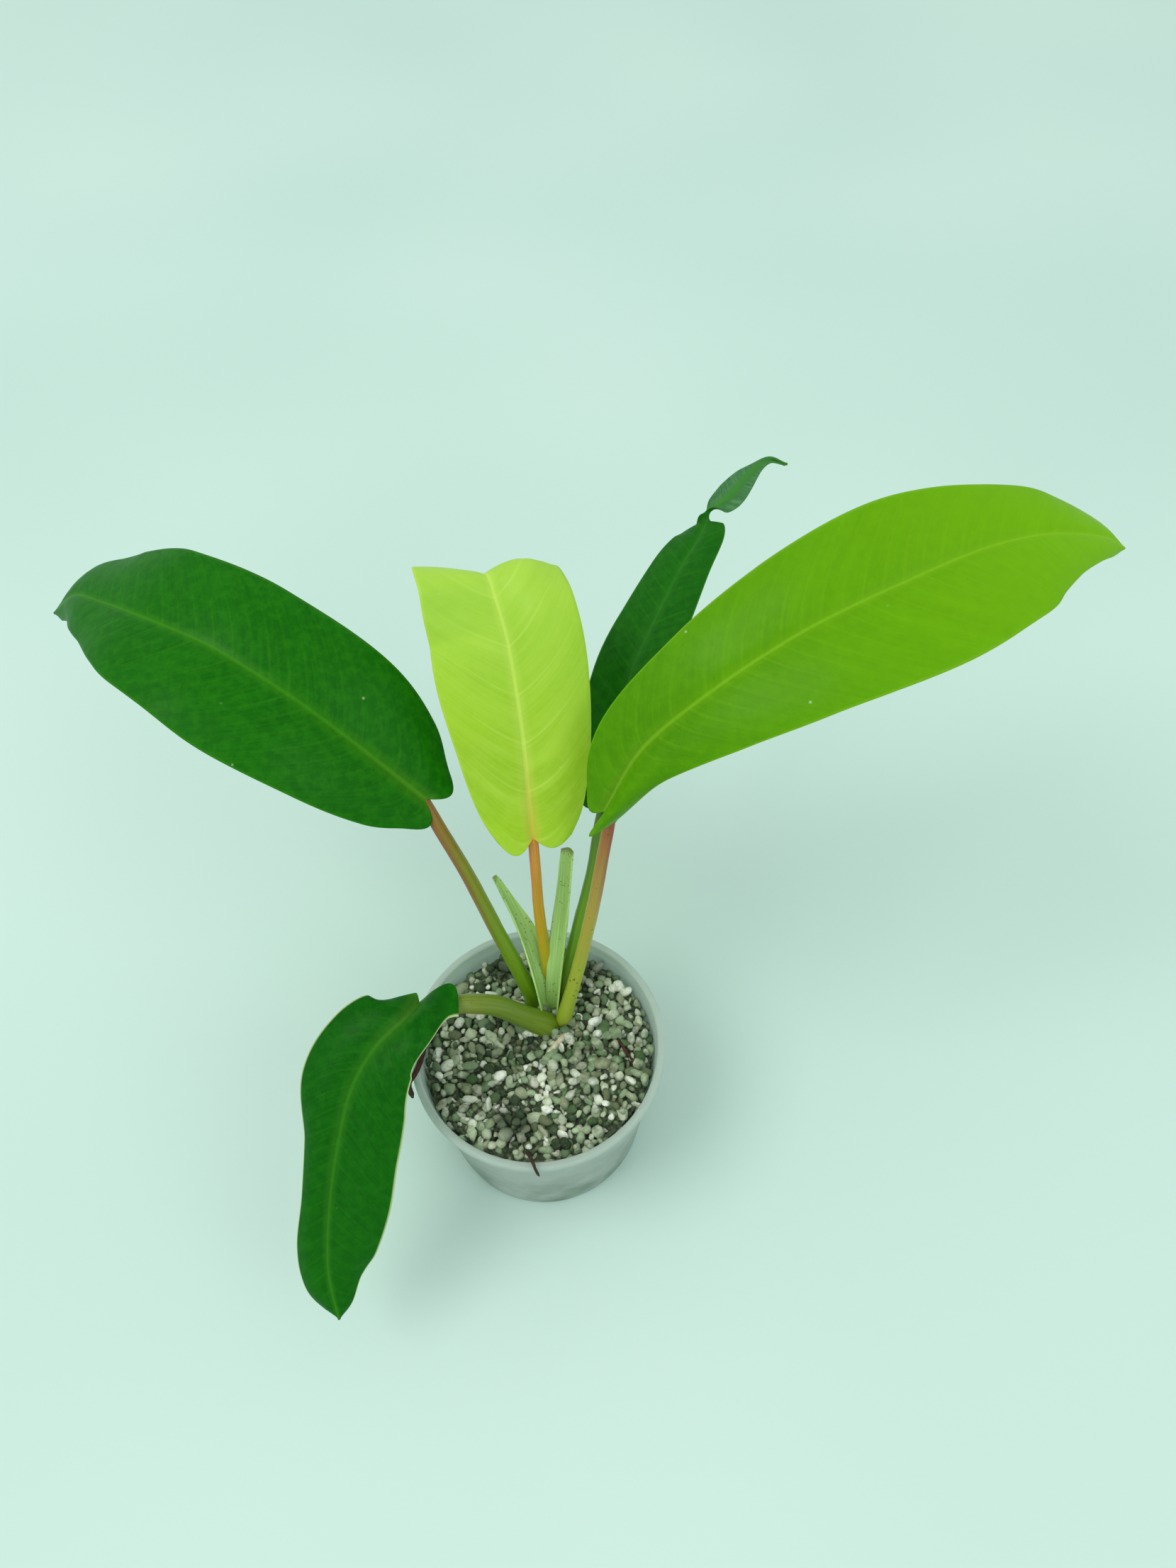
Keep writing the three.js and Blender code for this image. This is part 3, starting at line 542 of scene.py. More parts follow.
# Damp fines between the stones: nearly black green-brown
def finesMaterial():
    material, tree, shader = newMaterial("damp pumice fines", Roughness=0.95)
    add = partial(addNode, tree)
    place = add(coordinates, output="Object")
    speckle = add(noise, {"Vector": place, "Scale": 1 / 0.0015, "Detail": 3.0})
    tone = add(spread, {0: speckle, 1: 0.4, 2: 0.7, 3: 0.0, 4: 1.0})
    colour = add(mix, {0: tone, 6: paint("#343e2c"), 7: paint("#6e7a60")}, output=2, data_type="RGBA")
    link(tree, colour, shader, "Base Color")
    return material


# Natural polypropylene, injection moulded: thin, milky, lets light through but blurs what is behind it
def potMaterial():
    material, tree, shader = newMaterial(
        "natural polypropylene", IOR=1.2, Transmission_Weight=0.4, Subsurface_Weight=1.0, Subsurface_Scale=4 * mm,
        Subsurface_Radius=(1.0, 1.0, 1.0))
    add = partial(addNode, tree)
    place = add(coordinates, output="Object")
    # grey-green mottles in the plastic, with painted shade: they grow darker towards the floor
    cloud = add(noise, {"Vector": place, "Scale": 1 / 0.02, "Detail": 3.0})
    mottleAndLowShade = add(spread, {0: cloud, 1: 0.38, 2: 0.65, 3: 0.0, 4: 1.0})
    # painted shade: the mottles are strongest at the foot and fade out just below the lip
    height = add(separate, {0: place}, output=2)
    low = add(spread, {0: height, 1: 0.0, 2: 0.064, 3: 1.0, 4: 0.0})
    mottleAndLowShade = add(maths, {0: mottleAndLowShade, 1: low}, operation="MULTIPLY")
    colour = add(mix, {0: mottleAndLowShade, 6: paint("#c2d2c9"), 7: paint("#74907c")}, output=2, data_type="RGBA")
    link(tree, colour, shader, "Base Color")
    fine = add(noise, {"Vector": place, "Scale": 1 / 0.004, "Detail": 2.0})
    haze = add(spread, {0: fine, 1: 0.3, 2: 0.7, 3: 0.42, 4: 0.55})
    link(tree, haze, shader, "Roughness")
    bump = add(bumps, {"Height": fine, "Strength": 0.15, "Distance": 0.2 * mm})
    link(tree, bump, shader, "Normal")
    return material


# Vinyl sheet: matt and pale, with faint clouds of tone
def floorMaterial():
    material, tree, shader = newMaterial("matt vinyl sheet", Roughness=0.7)
    add = partial(addNode, tree)
    place = add(coordinates, output="Object")
    cloud = add(noise, {"Vector": place, "Scale": 1 / 0.35, "Detail": 1.0})
    tone = add(spread, {0: cloud, 1: 0.3, 2: 0.7, 3: 0.0, 4: 1.0})
    colour = add(mix, {0: tone, 6: paint("#c0ddd4"), 7: paint("#c8e3da")}, output=2, data_type="RGBA")
    link(tree, colour, shader, "Base Color")
    return material


cameraSet = {
    "place": (22.9, -185.8, 508.6),  # mm
    "pitch": 54.6,  # degrees below the horizon
    "roll": -1.82,
    "lens": 27.05,
}


def addCamera(settings):
    pitch, roll = math.radians(settings["pitch"]), math.radians(settings["roll"])
    across = Vector((1, 0, 0))
    forward = Vector((0, math.cos(pitch), -math.sin(pitch)))
    upward = across.cross(forward)
    right = across * math.cos(roll) + upward * math.sin(roll)
    top = upward * math.cos(roll) - across * math.sin(roll)
    data = bpy.data.cameras.new("camera")
    data.lens, data.sensor_width, data.clip_start, data.clip_end = settings["lens"], 36, 0.01, 20
    camera = bpy.data.objects.new("camera", data)
    scene.collection.objects.link(camera)
    turn = Matrix((right, top, -forward)).transposed().to_4x4()
    camera.matrix_world = Matrix.Translation(Vector(settings["place"]) * mm) @ turn
    scene.camera = camera


studio = {
    "world": "#fafffd", "worldPower": 0.8,
    "lamps": {  # metres, watts
        "window": {"at": (-1.4, -0.5, 2.6), "size": 1.6, "power": 28, "colour": "#fffdf8"},
        "fill": {"at": (1.6, -1.2, 2.2), "size": 1.6, "power": 10, "colour": "#f4fffb"},
    },
}


def addStudio(settings):
    world = bpy.data.worlds.new("studio")
    scene.world = world
    world.use_nodes = True
    sky = world.node_tree.nodes["Background"]
    sky.inputs[0].default_value, sky.inputs[1].default_value = paint(settings["world"]), settings["worldPower"]
    for name, lamp in settings["lamps"].items():
        data = bpy.data.lights.new(name, "AREA")
        data.shape, data.size, data.energy, data.color = "DISK", lamp["size"], lamp["power"], paint(lamp["colour"])[:3]
        light = bpy.data.objects.new(name, data)
        scene.collection.objects.link(light)
        light.location = lamp["at"]
        light.rotation_euler = (Vector((0, 0.03, 0.1)) - light.location).to_track_quat("-Z", "Y").to_euler()
    floor = bpy.data.meshes.new("floor")
    reach = 4.0
    floor.from_pydata([(-reach, -reach, 0), (reach, -reach, 0), (reach, reach, 0), (-reach, reach, 0)], [],
                      [(0, 1, 2, 3)])
    floor.materials.append(floorMaterial())
    ground = bpy.data.objects.new("floor", floor)
    scene.collection.objects.link(ground)
    ground.location.z = -0.2 * mm


addCamera(cameraSet)
addStudio(studio)
print("camera, lights and floor placed")


pot = {  # mm
    "height": 74, "rimRadius": 50, "lipWidth": 3, "lipHeight": 4, "wall": 1, "baseRadius": 41, "baseThickness": 1.6,
    "beadBelowRim": 9, "beadRise": 0.5, "beadWidth": 2, "drainHoles": 6, "drainHoleRadius": 2.4, "drainCircle": 27,
    "footRise": 0.9, "footInset": 5, "footCorner": 1.6, "floorCorner": 1.5, "lipUnderCorner": 0.9,
    "lipOuterCorner": 1.2, "lipInnerCorner": 1, "sides": 144,
}


def boreAt(z):
    floorRadius, mouth = pot["baseRadius"] - pot["wall"], pot["rimRadius"] - pot["lipWidth"]
    return floorRadius + (mouth - floorRadius) * z / pot["height"]


def addPot():
    top, lipBottom = pot["height"], pot["height"] - pot["lipHeight"]
    bead = top - pot["beadBelowRim"]
    outer = lambda z: boreAt(z) + pot["wall"]
    rim, mouth, base = pot["rimRadius"], pot["rimRadius"] - pot["lipWidth"], pot["baseRadius"]
    quarterTurn = lambda steps: [math.pi / 2 * i / steps for i in range(steps + 1)]
    profile = [(0, pot["footRise"]), (base - pot["footInset"], pot["footRise"]), (base - pot["footInset"] + 0.8, 0)]
    corner = pot["footCorner"]
    profile += [(base - corner + corner * math.sin(a), corner - corner * math.cos(a)) for a in quarterTurn(6)]
    profile += [(outer(z), z) for z in np.linspace(4, bead - 2.2, 14)]
    for i in range(9):  # the raised line
        z = bead - 1.6 + pot["beadWidth"] * i / 8
        profile.append((outer(z) + pot["beadRise"] * math.sin(math.pi * i / 8), z))
    profile += [(outer(lipBottom - 0.8), lipBottom - 0.8), (outer(lipBottom) + 0.5, lipBottom - 0.1)]
    # under the lip, then its outer and inner edges
    corner = pot["lipUnderCorner"]
    profile += [(rim - corner + corner * math.sin(a), lipBottom + corner - corner * math.cos(a))
                for a in quarterTurn(6)]
    corner = pot["lipOuterCorner"]
    profile += [(rim - corner + corner * math.cos(a), top - corner + corner * math.sin(a)) for a in quarterTurn(8)]
    corner = pot["lipInnerCorner"]
    profile += [(mouth + corner - corner * math.sin(a), top - corner + corner * math.cos(a)) for a in quarterTurn(8)]
    # down the bore and over the floor
    profile += [(boreAt(z), z) for z in np.linspace(top - 3, pot["baseThickness"] + 2, 16)]
    corner, floor = pot["floorCorner"], pot["baseThickness"]
    profile += [(boreAt(2) - corner + corner * math.cos(a), floor + corner - corner * math.sin(a))
                for a in quarterTurn(5)]
    profile.append((0, floor))
    bm = bmesh.new()
    rings = []
    for radius, z in profile:
        if radius == 0:
            rings.append([bm.verts.new((0, 0, z * mm))])
        else:
            rings.append([bm.verts.new((radius * mm * math.cos(2 * math.pi * k / pot["sides"]),
                                        radius * mm * math.sin(2 * math.pi * k / pot["sides"]), z * mm))
                          for k in range(pot["sides"])])
    for lower, upper in zip(rings, rings[1:]):
        for k in range(pot["sides"]):
            n = (k + 1) % pot["sides"]
            if len(lower) == 1:
                bm.faces.new((lower[0], upper[n], upper[k]))
            elif len(upper) == 1:
                bm.faces.new((lower[k], lower[n], upper[0]))
            else:
                bm.faces.new((lower[k], lower[n], upper[n], upper[k]))
    bmesh.ops.recalc_face_normals(bm, faces=bm.faces)
    mesh = bpy.data.meshes.new("pot_shell")
    bm.to_mesh(mesh)
    bm.free()
    drill = bmesh.new()
    for i in range(pot["drainHoles"]):
        a = 2 * math.pi * (i + 0.5) / pot["drainHoles"]
        at = Matrix.Translation(Vector((pot["drainCircle"] * math.cos(a), pot["drainCircle"] * math.sin(a), 1)) * mm)
        bmesh.ops.create_cone(drill, cap_ends=True, segments=24, radius1=pot["drainHoleRadius"] * mm,
                              radius2=pot["drainHoleRadius"] * mm, depth=6 * mm, matrix=at)
    drillMesh = bpy.data.meshes.new("drills")
    drill.to_mesh(drillMesh)
    drill.free()
    drills = bpy.data.objects.new("drills", drillMesh)
    shell = bpy.data.objects.new("pot_shell", mesh)
    scene.collection.objects.link(shell)
    scene.collection.objects.link(drills)
    holes = shell.modifiers.new("drain holes", "BOOLEAN")
    holes.object, holes.operation, holes.solver = drills, "DIFFERENCE", "EXACT"
    bpy.context.view_layer.update()
    cut = bpy.data.meshes.new_from_object(shell.evaluated_get(bpy.context.evaluated_depsgraph_get()))
    shell.modifiers.clear()
    shell.data = cut
    bpy.data.objects.remove(drills)
    cut.materials.clear()
    cut.materials.append(potMaterial())
    cut.shade_smooth()
    cut.set_sharp_from_angle(angle=math.radians(50))
    finishPiece(shell, "pot_plastic", "pot")


addPot()
print("pot turned and drilled")


gravel = {
    "coreTop": 64.6, "coreGap": 1.8,  # mm; the core of fines stays this far inside the wall
    "lump": 0.7,
    "layers": {  # mm: how far apart the stones are, and their smallest and largest radius
        "Lower": {"Apart": 2.7, "Small": 1.2, "Large": 2.2},
        "Upper": {"Apart": 3.1, "Small": 1.0, "Large": 2.9},
        "Wall": {"Apart": 4.3, "Small": 1.7, "Large": 3.0},
    },
    "upperLift": 2.3,
    "rough": 2.6, "roughSize": 2.2,  # how far the stones' faces go in and out, and over what distance
    "seed": 7,
    # painted shade under the leaves: each patch's centre, and how far it spreads
    "shadeUnderLeaves": [((-10, -30, 67), 13), ((22, 38, 67), 14), ((-16, 36, 67), 9)],  # where, and how far they spread
    "tones": [(0.0, "#24361f"), (0.15, "#5c7654"), (0.34, "#92aa86"), (0.55, "#b6c6a4"), (0.75, "#d6e0c6"),
              (1.0, "#f4faee")],
    # damp is the colour of the painted shade under the leaves
    "dirt": "#70745a", "moss": "#3a5c2c", "rust": "#8a8068", "freshAlgae": "#4f9a24", "damp": "#22341e",
}


# The heap of fines that the stones lie on
def gravelCore():
    sides, rings = 72, 16
    bottom, top = pot["baseThickness"] + 0.4, gravel["coreTop"]
    points, faces = [], []
    heights = np.linspace(bottom, top, 12)
    for z in heights:
        r = boreAt(z) - gravel["coreGap"]
        points += [(r * math.cos(2 * math.pi * k / sides), r * math.sin(2 * math.pi * k / sides), z)
                   for k in range(sides)]
    edge = boreAt(top) - gravel["coreGap"]
    for i in range(1, rings):
        r = edge * (1 - i / rings)
        for k in range(sides):
            x, y = r * math.cos(2 * math.pi * k / sides), r * math.sin(2 * math.pi * k / sides)
            lump = math.sin(x / 4.3 + 1) * math.cos(y / 3.7) + 0.6 * math.sin((x + y) / 6.1)
            points.append((x, y, top + gravel["lump"] * lump))
    loops = len(heights) + rings - 1
    for row in range(loops - 1):
        for k in range(sides):
            n = (k + 1) % sides
            faces.append((row * sides + k, row * sides + n, (row + 1) * sides + n, (row + 1) * sides + k))
    points += [(0, 0, top), (0, 0, bottom)]
    tip, foot = len(points) - 2, len(points) - 1
    for k in range(sides):
        n = (k + 1) % sides
        faces.append(((loops - 1) * sides + k, (loops - 1) * sides + n, tip))
        faces.append((n, k, foot))
    mesh = bpy.data.meshes.new("gravelCore")
    mesh.from_pydata((np.array(points) * mm).tolist(), [], faces)
    return mesh


# Stones over the top and the sides of the core; none goes through the pot's wall
def gravelTree():
    layerSizes = {f"{layer} {part}": "Float" for layer, sizes in gravel["layers"].items() for part in sizes}
    tree, size = newTree("loosePumice", {
        **layerSizes, "Upper Lift": "Float", "Rough": "Float", "Rough Size": "Float", "Seed": "Int",
        "Stone Finish": "Material", "Fines Finish": "Material"})
    add = partial(addNode, tree)
    facing = add(separate, {0: add(surfaceNormal)}, output=2)
    isTop = add("FunctionNodeCompare", {0: facing, 1: 0.6}, operation="GREATER_THAN", data_type="FLOAT")
    steep = add(maths, {0: facing}, operation="ABSOLUTE")
    isWall = add("FunctionNodeCompare", {0: steep, 1: 0.4}, operation="LESS_THAN", data_type="FLOAT")
    pebble = add("GeometryNodeMeshIcoSphere", {0: 1.0, 1: 2})  # 80 faces
    gathered = tree.nodes.new(joinPieces)
    mostStones = 900000.0  # for a square metre; the distance apart is what counts
    layers = [("Lower", isTop, (0, 0, 0.4 * mm), 0), ("Upper", isTop, None, 11), ("Wall", isWall, (0, 0, 0), 23)]
    for key, where, lift, shift in layers:
        seed, sizeSeed, shapeSeed, turnSeed, tintSeed = [
            add(maths, {0: size["Seed"], 1: float(shift + k)}, operation="ADD") for k in range(5)]
        points = add("GeometryNodeDistributePointsOnFaces",
                     {0: size["Geometry"], 1: where, 2: size[key + " Apart"], 3: mostStones, 6: seed},
                     distribute_method="POISSON")
        if lift is None:
            up = add(randomValue, {2: 0.75, 3: 1.1, 8: seed}, output=1, data_type="FLOAT")
            up = add(maths, {0: up, 1: size["Upper Lift"]}, operation="MULTIPLY")
            lift = add(combine, {2: up})
        points = add(setPosition, {0: points, 3: lift})
        large = add(randomValue, {2: size[key + " Small"], 3: size[key + " Large"], 8: sizeSeed}, output=1,
                    data_type="FLOAT")
        squat = add(randomValue, {0: (0.6, 0.75, 0.45), 1: (1.0, 1.4, 0.95), 8: shapeSeed}, data_type="FLOAT_VECTOR")
        scale = add(vector, {0: squat, 3: large}, operation="SCALE")
        turn = add(randomValue, {0: (0, 0, 0), 1: (6.28, 6.28, 6.28), 8: turnSeed}, data_type="FLOAT_VECTOR")
        stones = add("GeometryNodeInstanceOnPoints", {0: points, 2: pebble, 5: turn, 6: scale})
        shade = add(randomValue, {2: 0.0, 3: 1.0, 8: tintSeed}, output=1, data_type="FLOAT")
        tinted = add(storeAttribute, {0: stones, 2: "tint", 3: shade}, data_type="FLOAT", domain="INSTANCE")
        tree.links.new(tinted, gathered.inputs[0])
    real = add(realize, {0: gathered.outputs[0]})
    # broken faces
    perSize = add(maths, {0: 1.0, 1: size["Rough Size"]}, operation="DIVIDE")
    chips = add(noise, {2: perSize, 3: 1.0})
    chips = add(maths, {0: chips, 1: 0.5}, operation="SUBTRACT")
    chips = add(maths, {0: chips, 1: size["Rough"]}, operation="MULTIPLY")
    chipped = add(vector, {0: add(surfaceNormal), 3: chips}, operation="SCALE")
    broken = add(setPosition, {0: real, 3: chipped})
    # pressed flat where they meet the wall
    place = add("GeometryNodeInputPosition")
    parts = add(separate, {0: place}).node.outputs
    flatPlace = add(combine, {0: parts[0], 1: parts[1]})
    reach = add(vector, {0: flatPlace}, output=1, operation="LENGTH")
    slope, clear = boreAt(1) - boreAt(0), 0.35  # the wall's taper, and the gap left inside it
    limit = add(maths, {0: parts[2], 1: slope, 2: (boreAt(0) - clear) * mm}, operation="MULTIPLY_ADD")
    squeeze = add(maths, {0: limit, 1: reach}, operation="DIVIDE")
    squeeze = add(maths, {0: squeeze, 1: 1.0}, operation="MINIMUM")
    inside = add(vector, {0: flatPlace, 3: squeeze}, operation="SCALE")
    low = add(maths, {0: parts[2], 1: (pot["baseThickness"] + 0.3) * mm}, operation="MAXIMUM")
    level = add(combine, {2: low})
    inside = add(vector, {0: inside, 1: level}, operation="ADD")
    kept = add(setPosition, {0: broken, 2: inside})
    flat = add(shadeSmooth, {0: kept})
    stoneDone = add(setMaterial, {0: flat, 2: size["Stone Finish"]})
    coreDone = add(setMaterial, {0: size["Geometry"], 2: size["Fines Finish"]})
    both = tree.nodes.new(joinPieces)
    tree.links.new(coreDone, both.inputs[0])
    tree.links.new(stoneDone, both.inputs[0])
    add("NodeGroupOutput", {0: both.outputs[0]})
    return tree


stoneNodes = sorted(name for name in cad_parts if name.startswith("stone_"))
stoneSizes = {f"{layer} {part}": value * mm
              for layer, sizes in gravel["layers"].items() for part, value in sizes.items()}
bed = grow("gravel", gravelCore(), gravelTree(), {
    **stoneSizes, "Upper Lift": gravel["upperLift"] * mm, "Rough": gravel["rough"] * mm,
    "Rough Size": gravel["roughSize"] * mm, "Seed": gravel["seed"], "Stone Finish": pumiceMaterial(),
    "Fines Finish": finesMaterial()})
finishPiece(bed, "pumice", "gravel_bed", *stoneNodes)
print("gravel laid,", len(bed.data.polygons), "faces")


# mm, then the finish
everyLeaf = {"thickness": 0.55, "ribDepth": 1, "grooveDepth": 0.5, "grooveWidth": 3, "wax": 0.015, "gloss": 0.08,
             "rough": 0.38}
everyStalk = {"sides": 28, "ridges": 9, "ridgeHeight": 0.05, "knobSize": 9, "knobHeight": 0.35, "underBlade": 0.3,
              "thinEnd": 0.35}

